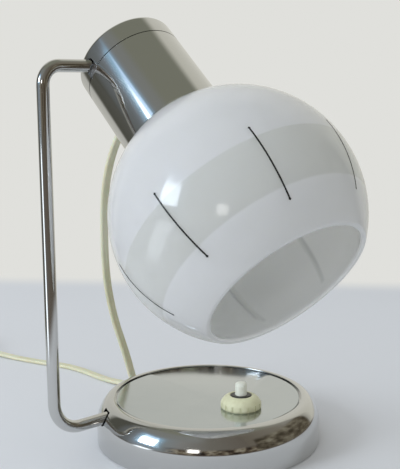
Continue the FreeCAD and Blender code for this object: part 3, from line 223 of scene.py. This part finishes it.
steel = bare_metal("bare_steel", (0.56, 0.56, 0.55, 1), (0.40, 0.39, 0.37, 1), 0.30)
for name in ("bottom_cover", "cover_screws", "rod_block", "rod_block_screws", "cord_clamp_screws",
             "switch_spring", "rod_collar", "saddle_screws", "support_tube"):
    dress(name, steel)
alloy = bare_metal("saddle_alloy", (0.66, 0.66, 0.67, 1), (0.52, 0.52, 0.53, 1), 0.38)
for name in ("saddle_lower", "saddle_upper"):
    dress(name, alloy)
brass = bare_metal("brass", (0.72, 0.55, 0.26, 1), (0.52, 0.38, 0.16, 1), 0.28)
for name in ("disc_pillars", "terminal_screws", "switch_tags", "socket_shell", "socket_contact",
             "bulb_cap", "plug_pins"):
    dress(name, brass)
dress("base_weight", bare_metal("cast_iron", (0.10, 0.10, 0.10, 1), (0.05, 0.05, 0.05, 1), 0.6, 120.0))

# The switch's spring: a coil of steel wire that stands on the floor of the case and carries the
# button's collar. In the switch it shortens as the button goes down; here it is built at one
# length, and takes the place of the stiff one.

SPRING_LOW, SPRING_HIGH = 0.0087, 0.019525
SPRING_RADIUS = 0.00405
SPRING_TURNS = 6
SPRING_STEPS = 24
WIRE_RADIUS = 0.0003
WIRE_SIDES = 10
WIRE_CLEAR = 0.00005
SWITCH_FORWARD = 0.027
wire_low = SPRING_LOW + WIRE_RADIUS + WIRE_CLEAR
wire_high = SPRING_HIGH - WIRE_RADIUS - WIRE_CLEAR
bpy.ops.object.select_all(action="DESELECT")
bpy.ops.mesh.primitive_circle_add(vertices=WIRE_SIDES, radius=WIRE_RADIUS)
spring = bpy.context.object
spring.name = "push_spring"
for vertex in spring.data.vertices:
    vertex.co = (SPRING_RADIUS + vertex.co.x, 0.0, wire_low + vertex.co.y)
winding = spring.modifiers.new("winding", "SCREW")
winding.axis = "Z"
winding.angle = 2 * math.pi
winding.screw_offset = (wire_high - wire_low) / SPRING_TURNS
winding.iterations = SPRING_TURNS
winding.steps = SPRING_STEPS
winding.render_steps = SPRING_STEPS
bpy.ops.object.modifier_apply(modifier="winding")
for vertex in spring.data.vertices:
    vertex.co.y -= SWITCH_FORWARD
bpy.ops.object.mode_set(mode="EDIT")
bpy.ops.mesh.select_all(action="SELECT")
bpy.ops.mesh.fill_holes(sides=WIRE_SIDES)
bpy.ops.mesh.normals_make_consistent(inside=False)
bpy.ops.object.mode_set(mode="OBJECT")
bpy.ops.object.shade_smooth_by_angle(angle=math.radians(50))
spring.data.materials.append(steel)
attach(spring, "stand")
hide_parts("switch_spring")
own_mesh(spring)

# The felt under the base: pressed brown-black wool, cut round and glued to the cover, so that the
# lamp stands soft on a table.

material, shader, node, link = new_material("felt")
place = object_place(node)
wool = noise(node, place, 1500.0, 6.0, 0.7)
link(ramp(node, wool, [(0.3, (0.020, 0.018, 0.015, 1)), (0.7, (0.07, 0.06, 0.05, 1))]),
     shader.inputs["Base Color"])
shader.inputs["Roughness"].default_value = 0.95
shader.inputs["Sheen Weight"].default_value = 0.4
relief(node, link, shader, wool, 0.6, 0.0004)
dress("felt_pad", material)

# Rings where the flexes leave the base and the head: soft ivory rubber, gone dull with age and
# pushed into the holes in the sheet.

rubber = moulded("aged_rubber", (0.52, 0.49, 0.38, 1), (0.36, 0.33, 0.24, 1), rough=0.6)
for name in ("flex_grommet", "mains_grommet", "head_grommet"):
    dress(name, rubber)

# The globe: blown glass with a thin white layer, thinner in a band below its middle, where it
# looks grey. It hangs in the head, turned forward about the rod with it.

PIVOT = Vector((-0.0325, 0.0212, 0.2060))
TILT = math.radians(48.5)
GLOBE_DROP = 0.1066
GLOBE_RADIUS = 0.0609
GLOBE_WALL = 0.0026
WHITE = (0.76, 0.77, 0.745, 1)
GREY = (0.61, 0.62, 0.575, 1)
BAND_LOW, BAND_HIGH, BAND_EDGE = 0.276, 0.472, 0.006
# The lining's colour is painted lighter for daylight coming through the glass, and the next is a
# painted shadow of the strokes.
LIT_LINING = (0.92, 0.93, 0.90, 1)
SHADOW = (0.70, 0.72, 0.70, 1)
FIRST_SHADOW = math.radians(20.6)
SHADOW_APART = math.radians(45.0)
to_head = Matrix.Translation(PIVOT) @ Matrix.Rotation(-TILT, 4, "X")
globe_centre = to_head @ Vector((0, 0, -GLOBE_DROP))


def on_head_axis(node):
    """Object coordinates turned so that Z runs up the head's axis from the globe's centre."""
    turn = to_head.to_3x3().inverted().to_euler()
    moved = node("ShaderNodeVectorMath", {0: object_place(node), 1: tuple(globe_centre)},
                 operation="SUBTRACT")
    return node("ShaderNodeMapping", {"Vector": moved.outputs[0], "Rotation": tuple(turn)},
                vector_type="POINT").outputs[0]


def eased(node, value, low, high):
    """A smooth step from 0 at low to 1 at high."""
    return node("ShaderNodeMapRange", {"Value": value, "From Min": low, "From Max": high},
                interpolation_type="SMOOTHSTEP").outputs[0]


# Height runs from -1 at the mouth's end of the globe to 1 at its neck, and share from 0 to 1.

material, shader, node, link = new_material("opal_glass")
local = on_head_axis(node)
parts = node("ShaderNodeSeparateXYZ", {0: local})
reach = node("ShaderNodeVectorMath", {0: local}, operation="LENGTH").outputs["Value"]
height = maths(node, "DIVIDE", parts.outputs["Z"], reach)
wander = maths(node, "MULTIPLY_ADD", noise(node, local, 22.0, 3.0), 0.012, -0.006)
share = maths(node, "MULTIPLY_ADD", maths(node, "ADD", height, wander), 0.5, 0.5)
layer = ramp(node, share, [
    (0.0, WHITE), (BAND_LOW, WHITE), (BAND_LOW + BAND_EDGE, GREY),
    (BAND_HIGH, GREY), (BAND_HIGH + BAND_EDGE, WHITE), (1.0, WHITE)])

# Painted light and shade: the lining is painted whiter than the outside, for daylight coming through
# the glass, and grey lines painted on it behind the strokes are their painted shadows.

inside = maths(node, "LESS_THAN", reach, GLOBE_RADIUS - GLOBE_WALL / 2)
back = maths(node, "MULTIPLY", parts.outputs["Y"], -1.0)
longitude = maths(node, "ARCTAN2", parts.outputs["X"], back)
past_first = maths(node, "ADD", longitude, 2 * math.pi - FIRST_SHADOW)
from_stroke = maths(node, "PINGPONG", past_first, SHADOW_APART / 2)
behind_stroke = eased(node, from_stroke, math.radians(2.4), math.radians(0.4))
along_stroke = ramp(node, share, [(0.18, 0.0), (0.20, 1.0), (0.47, 1.0), (0.50, 0.0)])
lining = over(node, maths(node, "MULTIPLY", behind_stroke, along_stroke), LIT_LINING, SHADOW)
link(over(node, inside, layer, lining), shader.inputs["Base Color"])
shader.inputs["Roughness"].default_value = 0.07
shader.inputs["Subsurface Weight"].default_value = 0.85
shader.inputs["Subsurface Radius"].default_value = (1.0, 1.0, 0.9)
shader.inputs["Subsurface Scale"].default_value = 0.02
shader.inputs["IOR"].default_value = 1.5
ripple = noise(node, local, 25.0, 1.0)
relief(node, link, shader, ripple, 0.08, 0.001)
dress("globe", material)

# The bulb: a pear of thin frosted glass, screwed into the lampholder inside the globe, with its
# end towards the mouth.

material, shader, node, link = new_material("bulb_frosted")
place = object_place(node)
frost = noise(node, place, 800.0, 3.0)
link(ramp(node, frost, [(0.3, (0.86, 0.86, 0.84, 1)), (0.7, (0.80, 0.80, 0.78, 1))]),
     shader.inputs["Base Color"])
shader.inputs["Roughness"].default_value = 0.3
shader.inputs["Subsurface Weight"].default_value = 0.6
shader.inputs["Subsurface Scale"].default_value = 0.002
dress("bulb_glass", material)

# Eight strokes of black enamel, drawn on the globe and fired, from just above its middle towards
# the mouth. Each is a thin line with a small dot at both ends, and they stand about evenly.

STROKE_WIDTH = 0.0008
STROKE_DOT = 0.0013
STROKE_THICK = 0.00012
STROKE_STEPS = 60
STROKE_LONGITUDES = (20.4, 65.5, 110.5, 156.5, 197.5, 242.5, 288.1, 334.5)
STROKE_TOP = math.radians(-2.5)
STROKE_END = math.radians(32.0)
material, shader, node, link = new_material("black_enamel")
place = object_place(node)
fired = noise(node, place, 2200.0, 3.0)
link(ramp(node, fired, [(0.3, (0.006, 0.006, 0.006, 1)), (0.8, (0.03, 0.03, 0.028, 1))]),
     shader.inputs["Base Color"])
link(ramp(node, fired, [(0.3, 0.2), (0.8, 0.4)]), shader.inputs["Roughness"])
enamel = material


def on_globe(longitude, latitude, out=0.0):
    """A point on the globe, with latitude counted from its middle towards the mouth."""
    ring = (GLOBE_RADIUS + out) * math.cos(latitude)
    sink = -GLOBE_DROP - (GLOBE_RADIUS + out) * math.sin(latitude)
    return to_head @ Vector((ring * math.sin(longitude), ring * -math.cos(longitude), sink))


def stroke(name, longitude):
    """A grid laid on the glass, facing out, as a narrow strip with a dot at both ends."""
    bpy.ops.object.select_all(action="DESELECT")
    bpy.ops.mesh.primitive_grid_add(x_subdivisions=4, y_subdivisions=STROKE_STEPS, size=1.0)
    piece = bpy.context.object
    piece.name = name
    length = STROKE_END - STROKE_TOP
    dot = STROKE_DOT / 2 / GLOBE_RADIUS
    for vertex in piece.data.vertices:
        across, along = vertex.co.x * -2, vertex.co.y + 0.5
        latitude = STROKE_TOP + along * length
        from_end = min(latitude - STROKE_TOP, STROKE_END - latitude)
        bulge = math.sqrt(max(dot * dot - (from_end - dot) ** 2, 0.0)) if from_end < 2 * dot else 0.0
        half = max(bulge, STROKE_WIDTH / 2 / GLOBE_RADIUS if from_end > dot else 0.0)
        vertex.co = on_globe(longitude + across * half / math.cos(latitude), latitude,
                             STROKE_THICK * (1 - abs(across) ** 3))
    piece.data.materials.append(enamel)
    for face in piece.data.polygons:
        face.use_smooth = True
    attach(piece, "head")


for index, degrees in enumerate(STROKE_LONGITUDES):
    stroke(f"stroke_{index + 1}", math.radians(degrees))

# The head's flex: flat twin cord in ivory vinyl, two cores side by side with a groove between. It
# hangs from the head in a loose bow and goes into the back of the base; it is built in one shape,
# though the real cord bends as the head tilts.

FLEX_WIDTH = 0.0052
FLEX_THICK = 0.0027
FLEX_GROOVE = 0.66
FLEX_SIDES = 20
SHORTEST_STEP = 2e-4
material, shader, node, link = new_material("ivory_vinyl")
place = object_place(node)
age = noise(node, place, 40.0, 5.0)
link(ramp(node, age, [(0.3, (0.74, 0.73, 0.55, 1)), (0.7, (0.64, 0.62, 0.42, 1))]),
     shader.inputs["Base Color"])
shader.inputs["Roughness"].default_value = 0.42
shader.inputs["Subsurface Weight"].default_value = 0.15
shader.inputs["Subsurface Scale"].default_value = 0.001
vinyl = material


def centreline(name, points):
    """The points along a smooth NURBS curve with these control points."""
    curve = bpy.data.curves.new(name, "CURVE")
    curve.dimensions = "3D"
    spline = curve.splines.new("NURBS")
    spline.points.add(len(points) - 1)
    for control, point in zip(spline.points, points):
        control.co = (*point, 1.0)
    spline.order_u = 3
    spline.use_endpoint_u = True
    spline.resolution_u = 8
    holder = bpy.data.objects.new(name, curve)
    bpy.context.scene.collection.objects.link(holder)
    bpy.context.view_layer.update()
    line = bpy.data.meshes.new_from_object(holder)
    found = [vertex.co.copy() for vertex in line.vertices]
    bpy.data.objects.remove(holder)
    kept = [found[0]]
    for point in found[1:]:
        if (point - kept[-1]).length > SHORTEST_STEP:
            kept.append(point)
    return kept


def twin_section():
    """The figure-of-eight outline of the flat cord, as (across its width, through it)."""
    core = FLEX_THICK / 2
    middle = FLEX_WIDTH / 2 - core
    outline = []
    for index in range(FLEX_SIDES):
        angle = 2 * math.pi * index / FLEX_SIDES
        across = FLEX_WIDTH / 2 * math.cos(angle)
        if abs(across) > middle:
            half = math.sqrt(max(core * core - (abs(across) - middle) ** 2, 0.0))
        else:
            half = core * (FLEX_GROOVE + (1 - FLEX_GROOVE) * (abs(across) / middle) ** 2)
        outline.append((across, math.copysign(half, math.sin(angle))))
    return outline


def flat_flex(name, line, width_way):
    """Sweep the cord's outline along its line; width_way(share) says how its width lies."""
    outline = twin_section()
    vertices = []
    count = len(line)
    for index, point in enumerate(line):
        before = line[max(index - 1, 0)]
        after = line[min(index + 1, count - 1)]
        along = (after - before).normalized()
        wide = Vector(width_way(index / (count - 1)))
        wide = (wide - along * wide.dot(along)).normalized()
        thin = along.cross(wide)
        vertices += [point + wide * across + thin * through for across, through in outline]
    sides = len(outline)
    faces = [(row * sides + i, row * sides + (i + 1) % sides,
              (row + 1) * sides + (i + 1) % sides, (row + 1) * sides + i)
             for row in range(count - 1) for i in range(sides)]
    faces += [tuple(range(sides))[::-1], tuple((count - 1) * sides + i for i in range(sides))]
    mesh = bpy.data.meshes.new(name)
    mesh.from_pydata(vertices, [], faces)
    mesh.materials.append(vinyl)
    piece = bpy.data.objects.new(name, mesh)
    bpy.context.scene.collection.objects.link(piece)
    bpy.ops.object.select_all(action="DESELECT")
    bpy.context.view_layer.objects.active = piece
    piece.select_set(True)
    bpy.ops.object.mode_set(mode="EDIT")
    bpy.ops.mesh.select_all(action="SELECT")
    bpy.ops.mesh.normals_make_consistent(inside=False)
    bpy.ops.object.mode_set(mode="OBJECT")
    for face in mesh.polygons:
        face.use_smooth = len(face.vertices) == 4
    return piece


def mix(first, last, share):
    """A direction between two others."""
    return Vector(first).lerp(Vector(last), min(max(share, 0.0), 1.0))


head_route = [
    (-0.0325, 0.02976, 0.17519), (-0.0325, 0.03771, 0.16620), (-0.0300, 0.0495, 0.1500),
    (-0.0253, 0.0605, 0.1326), (-0.0197, 0.0696, 0.1140), (-0.0146, 0.0770, 0.0940),
    (-0.0099, 0.0813, 0.0730), (-0.0060, 0.0803, 0.0525), (-0.0024, 0.0768, 0.0365),
    (0.0005, 0.0752, 0.0240), (0.0026, 0.0744, 0.0146), (0.0038, 0.0716, 0.0092),
    (0.00415, 0.06782, 0.0072), (0.0039, 0.06393, 0.0072),
]
head_line = centreline("head_flex_line", head_route)
head_cord = flat_flex("head_cord", head_line, lambda share: mix((1, 0.1, 0), (1, 0, 0), share))
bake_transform(head_cord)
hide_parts("head_flex")

# The mains flex: the same cord, from the back of the base along the table to its plug. The rest
# of its length is wound in a round coil of two layers, in from outside below and out again above.

COIL_CENTRE = Vector((-0.0580, 0.2620, 0.0))
COIL_RADIUS = 0.0415
COIL_STEP = 0.0057
COIL_LOW = 0.00265
TURNS_IN = 4.0
TURN_BACK = 0.5
COIL_TURNS = 8.5
POINTS_PER_TURN = 16
FLAT_SHARE = 0.085
TURNING_SHARE = 0.03
CHORD_CUT = (6 + 2 * math.cos(2 * math.pi / POINTS_PER_TURN)) / 8


def coil_point(turn):
    """A control point of the put-away coil: wound in below, and out again above."""
    reversal = TURNS_IN + TURN_BACK
    if turn <= reversal:
        radius = COIL_RADIUS - COIL_STEP * turn
    else:
        beyond = turn - reversal
        radius = COIL_RADIUS - COIL_STEP * reversal + COIL_STEP * (beyond + min(beyond, TURN_BACK))
    climb = min(max((turn - TURNS_IN) / TURN_BACK, 0.0), 1.0)
    height = COIL_LOW + COIL_STEP * (3 * climb ** 2 - 2 * climb ** 3)
    angle = 2 * math.pi * turn
    out = radius / CHORD_CUT
    return COIL_CENTRE + Vector((out * math.cos(angle), out * math.sin(angle), height))


mains_route = [
    (0.01495, 0.06228, 0.0072), (0.01659, 0.06909, 0.0072), (0.0184, 0.0790, 0.0064),
    (0.0178, 0.0900, 0.0040), (0.0142, 0.1040, 0.0018), (0.0113, 0.1210, 0.0014),
    (0.0116, 0.1410, 0.0014), (0.0086, 0.1610, 0.0014), (-0.0006, 0.1810, 0.0014),
    (-0.0086, 0.2030, 0.0014), (-0.0142, 0.2230, 0.0022), (-0.0156, 0.2408, 0.00265),
    (-0.0163, 0.2568, 0.00265),
]
coil_route = [coil_point(index / POINTS_PER_TURN)
              for index in range(int(COIL_TURNS * POINTS_PER_TURN) + 1)]
tail_route = [(-0.0995, 0.2568, 0.00835), (-0.0995, 0.2478, 0.00835), (-0.0985, 0.2388, 0.00685),
              (-0.0989, 0.2298, 0.00685)]
mains_line = centreline("mains_line", mains_route + coil_route + tail_route)


def mains_width(share):
    """Flat on the table as far as the coil, then on edge, as a flat cord winds."""
    return mix((1.0, 0.3, 0.0), (0.0, 0.0, 1.0), (share - FLAT_SHARE) / TURNING_SHARE)


mains_cord = flat_flex("mains_cord", mains_line, mains_width)
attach(mains_cord, "stand")
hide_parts("mains_flex", "mains_coil", "mains_tail")
for name in ("flex_tails", "lampholder_lead"):
    dress(name, vinyl)

# The sleeve that keeps the mains flex from kinking at the base: soft ivory rubber, tapered and
# grooved round, pushed on over the flex and lying along it.

SLEEVE_LENGTH = 0.0215
SLEEVE_ROOT = 0.0044
SLEEVE_END = 0.0034
SLEEVE_BORE = 0.00265
SLEEVE_GROOVE = 0.0004
SLEEVE_RIBS = 6
SLEEVE_SIDES = 36
RIB_OUTLINE = ((0.0, 0.0), (0.58, 0.0), (0.66, 1.0), (0.92, 1.0))


def along_line(line, distance):
    """The point at this distance along a line, and the line's direction there."""
    for first, last in zip(line, line[1:]):
        step = (last - first).length
        if distance <= step:
            return first.lerp(last, distance / step), (last - first).normalized()
        distance -= step
    return line[-1], (line[-1] - line[-2]).normalized()


profile = [(SLEEVE_BORE, SLEEVE_LENGTH), (SLEEVE_BORE, 0.0)]
for rib in range(SLEEVE_RIBS):
    for part, sunk in RIB_OUTLINE:
        share = (rib + part) / SLEEVE_RIBS
        radius = SLEEVE_ROOT + (SLEEVE_END - SLEEVE_ROOT) * share - SLEEVE_GROOVE * sunk
        profile.append((radius, SLEEVE_LENGTH * share))
profile.append((SLEEVE_END, SLEEVE_LENGTH))
bpy.ops.object.select_all(action="DESELECT")
bpy.ops.mesh.primitive_circle_add(vertices=len(profile), radius=SLEEVE_ROOT)
sleeve = bpy.context.object
sleeve.name = "mains_relief"
for vertex, (radius, height) in zip(sleeve.data.vertices, profile):
    vertex.co = (radius, 0.0, height)
bpy.ops.object.mode_set(mode="EDIT")
bpy.ops.mesh.select_all(action="SELECT")
bpy.ops.mesh.spin(steps=SLEEVE_SIDES, angle=2 * math.pi, center=(0, 0, 0), axis=(0, 0, 1))
bpy.ops.mesh.select_all(action="SELECT")
bpy.ops.mesh.remove_doubles(threshold=WELD_REACH)
bpy.ops.mesh.normals_make_consistent(inside=False)
bpy.ops.object.mode_set(mode="OBJECT")
for vertex in sleeve.data.vertices:
    point, ahead = along_line(mains_line, vertex.co.z)
    side = ahead.cross(Vector((0, 0, 1))).normalized()
    vertex.co = point + side * vertex.co.x + ahead.cross(side) * vertex.co.y
bpy.ops.object.shade_smooth_by_angle(angle=math.radians(35))
sleeve.data.materials.append(rubber)
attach(sleeve, "stand")

# The plug: flat, with two brass pins, moulded in ivory plastic on the end of the mains flex, so
# that it can't be opened.

dress("plug_body", moulded("plug_ivory", (0.76, 0.74, 0.62, 1), (0.62, 0.59, 0.45, 1)))

# The table: a pale matt top that ends in the pale wall behind, without a line between them. What
# the chrome shows of it away from the lamp is painted here, by bearing.

WALL = (0.745, 0.745, 0.715, 1)
TABLE = (0.765, 0.775, 0.80, 1)
TABLE_WORN = (0.75, 0.76, 0.785, 1)
TABLE_SIZE = 12.0
WALL_LINE = 0.40
WALL_LINE_SOFT = 0.03
WALL_LINE_TURN = math.radians(47.0)
MIRRORED_FROM, MIRRORED_PAST = 0.24, 0.36
FLOOR_ROUND = [
    (-180, (0.13, 0.11, 0.085)), (-100, (0.16, 0.14, 0.12)), (-86, (0.30, 0.32, 0.34)),
    (-81, (2.2, 2.4, 2.6)), (-70, (2.2, 2.4, 2.6)), (-65, (0.28, 0.30, 0.31)),
    (-52, (0.14, 0.14, 0.13)), (-16, (0.10, 0.10, 0.082)), (-9, (0.60, 0.60, 0.56)),
    (92, (0.60, 0.59, 0.53)), (100, (0.16, 0.14, 0.11)), (180, (0.13, 0.11, 0.085))]


def all_round(node, bearing, colours):
    """A colour by bearing, from (degrees, colour) stops."""
    share = maths(node, "MULTIPLY_ADD", bearing, 0.5 / math.pi, 0.5)
    return ramp(node, share, [(degrees / 360 + 0.5, (*colour, 1)) for degrees, colour in colours])


def looked_through(node, rays):
    """1 for what the camera sees, straight or through glass."""
    return maths(node, "MAXIMUM", rays.outputs["Is Camera Ray"], rays.outputs["Is Transmission Ray"])


bpy.ops.object.select_all(action="DESELECT")
bpy.ops.mesh.primitive_plane_add(size=TABLE_SIZE)
floor = bpy.context.object
floor.name = "table"
material, shader, node, link = new_material("table_top")
place = object_place(node)
link(ramp(node, noise(node, place, 6.0, 3.0), [(0.3, TABLE), (0.8, TABLE_WORN)]),
     shader.inputs["Base Color"])
shader.inputs["Roughness"].default_value = 0.8
shader.inputs["Specular IOR Level"].default_value = 0.0
turned_place = node("ShaderNodeMapping", {"Vector": place, "Rotation": (0, 0, WALL_LINE_TURN)})
across = node("ShaderNodeSeparateXYZ", {0: turned_place.outputs[0]})
beyond = eased(node, across.outputs["Y"], WALL_LINE - WALL_LINE_SOFT, WALL_LINE + WALL_LINE_SOFT)
spread = node("ShaderNodeVectorMath", {0: place}, operation="LENGTH").outputs["Value"]
away = eased(node, spread, MIRRORED_FROM, MIRRORED_PAST)
sides = node("ShaderNodeSeparateXYZ", {0: place})
bearing = maths(node, "ARCTAN2", sides.outputs["X"], sides.outputs["Y"])
rays = node("ShaderNodeLightPath")
looked_at = maths(node, "MULTIPLY", looked_through(node, rays), beyond)
reflected = maths(node, "MULTIPLY", rays.outputs["Is Glossy Ray"], maths(node, "MAXIMUM", away, beyond))
far_seen = node("ShaderNodeEmission", {"Color": WALL}).outputs[0]
far_mirrored = node("ShaderNodeEmission", {"Color": all_round(node, bearing, FLOOR_ROUND)}).outputs[0]
table = node("ShaderNodeMixShader", {0: reflected, 1: shader.outputs[0], 2: far_mirrored}).outputs[0]
top = node("ShaderNodeMixShader", {0: looked_at, 1: table, 2: far_seen}).outputs[0]
link(top, material.node_tree.nodes["Material Output"].inputs["Surface"])
floor.data.materials.append(material)

# The light: one window to the left with a blue sky in it, a small lamp in front, and the room
# round them, pale behind the lamp, olive overhead and brown behind the camera.

LIT_MIDDLE = Vector((-0.03, -0.02, 0.12))


def toward(azimuth, elevation):
    """The direction of a bearing, counted from +Y towards +X, and a height above level."""
    turn, lift = math.radians(azimuth), math.radians(elevation)
    level = math.cos(lift)
    return Vector((math.sin(turn) * level, math.cos(turn) * level, math.sin(lift)))


def window(name, azimuth, elevation, distance, size, power, colour):
    """An area lamp like a window; what mirrors show of it is in the room below."""
    light = bpy.data.lights.new(name, "AREA")
    light.shape = "RECTANGLE"
    light.size, light.size_y = size
    light.energy = power
    light.color = colour
    holder = bpy.data.objects.new(name, light)
    bpy.context.scene.collection.objects.link(holder)
    holder.visible_glossy = False
    ahead = toward(azimuth, elevation)
    holder.location = LIT_MIDDLE + ahead * distance
    holder.rotation_mode = "QUATERNION"
    holder.rotation_quaternion = (-ahead).to_track_quat("-Z", "Y")


window("side_window", -74.0, 23.0, 2.0, (0.70, 0.80), 19.0, (0.86, 0.93, 1.0))
window("front_lamp", -124.0, 12.0, 2.2, (0.5, 0.45), 3.0, (1.0, 0.97, 0.92))

world = bpy.data.worlds.new("room")
bpy.context.scene.world = world
world.use_nodes = True
world.node_tree.nodes.clear()
world_node = node_adder(world.node_tree)


def times(first, second):
    """1 only where both are."""
    return maths(world_node, "MULTIPLY", first, second)


def rising(value, low, high):
    """A smooth step from 0 to 1 as an angle goes from low to high degrees."""
    return eased(world_node, value, math.radians(low), math.radians(high))


def between(value, low, high, soft):
    """1 between two angles in degrees, with soft edges."""
    ending = maths(world_node, "SUBTRACT", 1.0, rising(value, high - soft, high + soft))
    return times(rising(value, low - soft, low + soft), ending)


way = world_node("ShaderNodeTexCoord").outputs["Generated"]
parts = world_node("ShaderNodeSeparateXYZ", {0: way})
azimuth = maths(world_node, "ARCTAN2", parts.outputs["X"], parts.outputs["Y"])
elevation = maths(world_node, "ARCSINE", parts.outputs["Z"])
ROOM_ROUND = [
    (-180, (0.16, 0.14, 0.115)), (-140, (0.20, 0.19, 0.165)), (-110, (0.28, 0.28, 0.27)),
    (-92, (0.28, 0.32, 0.34)), (-60, (0.28, 0.32, 0.37)), (-52, (0.19, 0.21, 0.22)),
    (-40, (0.15, 0.16, 0.16)), (-32, (0.10, 0.10, 0.082)), (-17, (0.10, 0.10, 0.082)),
    (-9, (0.60, 0.60, 0.56)), (60, (0.74, 0.73, 0.66)), (88, (0.66, 0.65, 0.57)),
    (98, (0.34, 0.33, 0.29)), (130, (0.24, 0.22, 0.18)), (180, (0.17, 0.15, 0.12))]
walls = all_round(world_node, azimuth, ROOM_ROUND)
clutter = noise(world_node, way, 4.5, 3.0, 0.6)
furniture = ramp(world_node, clutter, [
    (0.38, (0.015, 0.012, 0.010, 1)), (0.47, (0.07, 0.05, 0.035, 1)), (0.53, (0.20, 0.17, 0.12, 1)),
    (0.60, (0.42, 0.38, 0.30, 1)), (0.66, (0.06, 0.05, 0.045, 1))])
behind_camera = maths(world_node, "SUBTRACT", 1.0, between(azimuth, -100, 116, 12))
low_down = between(elevation, -20, 15, 4)
walls = over(world_node, times(behind_camera, low_down), walls, furniture)
cupboard = times(between(azimuth, 97, 172, 2), between(elevation, -15, 34, 4))
doors = ramp(world_node, clutter, [
    (0.40, (0.06, 0.05, 0.034, 1)), (0.52, (0.14, 0.12, 0.085, 1)), (0.64, (0.27, 0.25, 0.19, 1))])
walls = over(world_node, cupboard, walls, doors)
above_window = times(between(azimuth, -130, -34, 10), rising(elevation, 34, 47))
walls = over(world_node, above_window, walls, (0.265, 0.275, 0.262, 1))
overhead = rising(elevation, 50, 66)
room = over(world_node, overhead, walls, (0.25, 0.255, 0.205, 1))
halo = times(between(azimuth, -89, -61, 5), between(elevation, 8, 36, 5))
room = over(world_node, halo, room, (0.40, 0.66, 0.88, 1))
pane = times(between(azimuth, -83.5, -65, 1.2), between(elevation, 11, 35, 1.2))
sky = over(world_node, rising(elevation, 22, 32), (9.0, 10.5, 12.0, 1), (0.85, 1.15, 1.55, 1))
room = over(world_node, pane, room, sky)
spot = times(between(azimuth, -129, -119, 1.5), between(elevation, 7.5, 16.5, 1.5))
room = over(world_node, spot, room, (4.5, 4.4, 4.2, 1))

# What lights the matt pieces: soft daylight, strongest from the window's side.

SKYWARD = tuple(toward(-74, 35))
facing = world_node("ShaderNodeVectorMath", {0: way, 1: SKYWARD}, operation="DOT_PRODUCT")
facing_share = maths(world_node, "MULTIPLY_ADD", facing.outputs["Value"], 0.5, 0.5)
soft_light = ramp(world_node, facing_share, [
    (0.0, (0.38, 0.365, 0.30, 1)), (0.45, (0.56, 0.56, 0.53, 1)), (1.0, (0.72, 0.76, 0.81, 1))])
rays = world_node("ShaderNodeLightPath")
lit = world_node("ShaderNodeBackground", {"Color": soft_light}).outputs[0]
mirrored = world_node("ShaderNodeBackground", {"Color": room}).outputs[0]
seen = world_node("ShaderNodeBackground", {"Color": WALL}).outputs[0]
shown = world_node("ShaderNodeMixShader", {0: rays.outputs["Is Glossy Ray"], 1: lit, 2: mirrored})
behind_all = world_node("ShaderNodeMixShader", {
    0: looked_through(world_node, rays), 1: shown.outputs[0], 2: seen})
world_node("ShaderNodeOutputWorld", {0: behind_all.outputs[0]})

bpy.context.scene.view_settings.view_transform = "Standard"

# The camera: where the photograph was taken from, to the left of the switch and a little above
# the middle of the globe.

EYE = Vector((-0.31712, -0.35964, 0.19265))
FORWARD = Vector((0.64616, 0.74616, -0.16039))
UP = Vector((0.11135, 0.11573, 0.98702))
LENS = 68.05
SHIFT = (0.0022, 0.0030)
camera = bpy.data.cameras.new("camera")
camera.sensor_width = 36.0
camera.lens = LENS
camera.shift_x, camera.shift_y = SHIFT
camera.clip_start = 0.01
holder = bpy.data.objects.new("camera", camera)
bpy.context.scene.collection.objects.link(holder)
right = FORWARD.cross(UP).normalized()
holder.matrix_world = Matrix.Translation(EYE) @ Matrix((right, UP, -FORWARD)).transposed().to_4x4()
bpy.context.scene.camera = holder
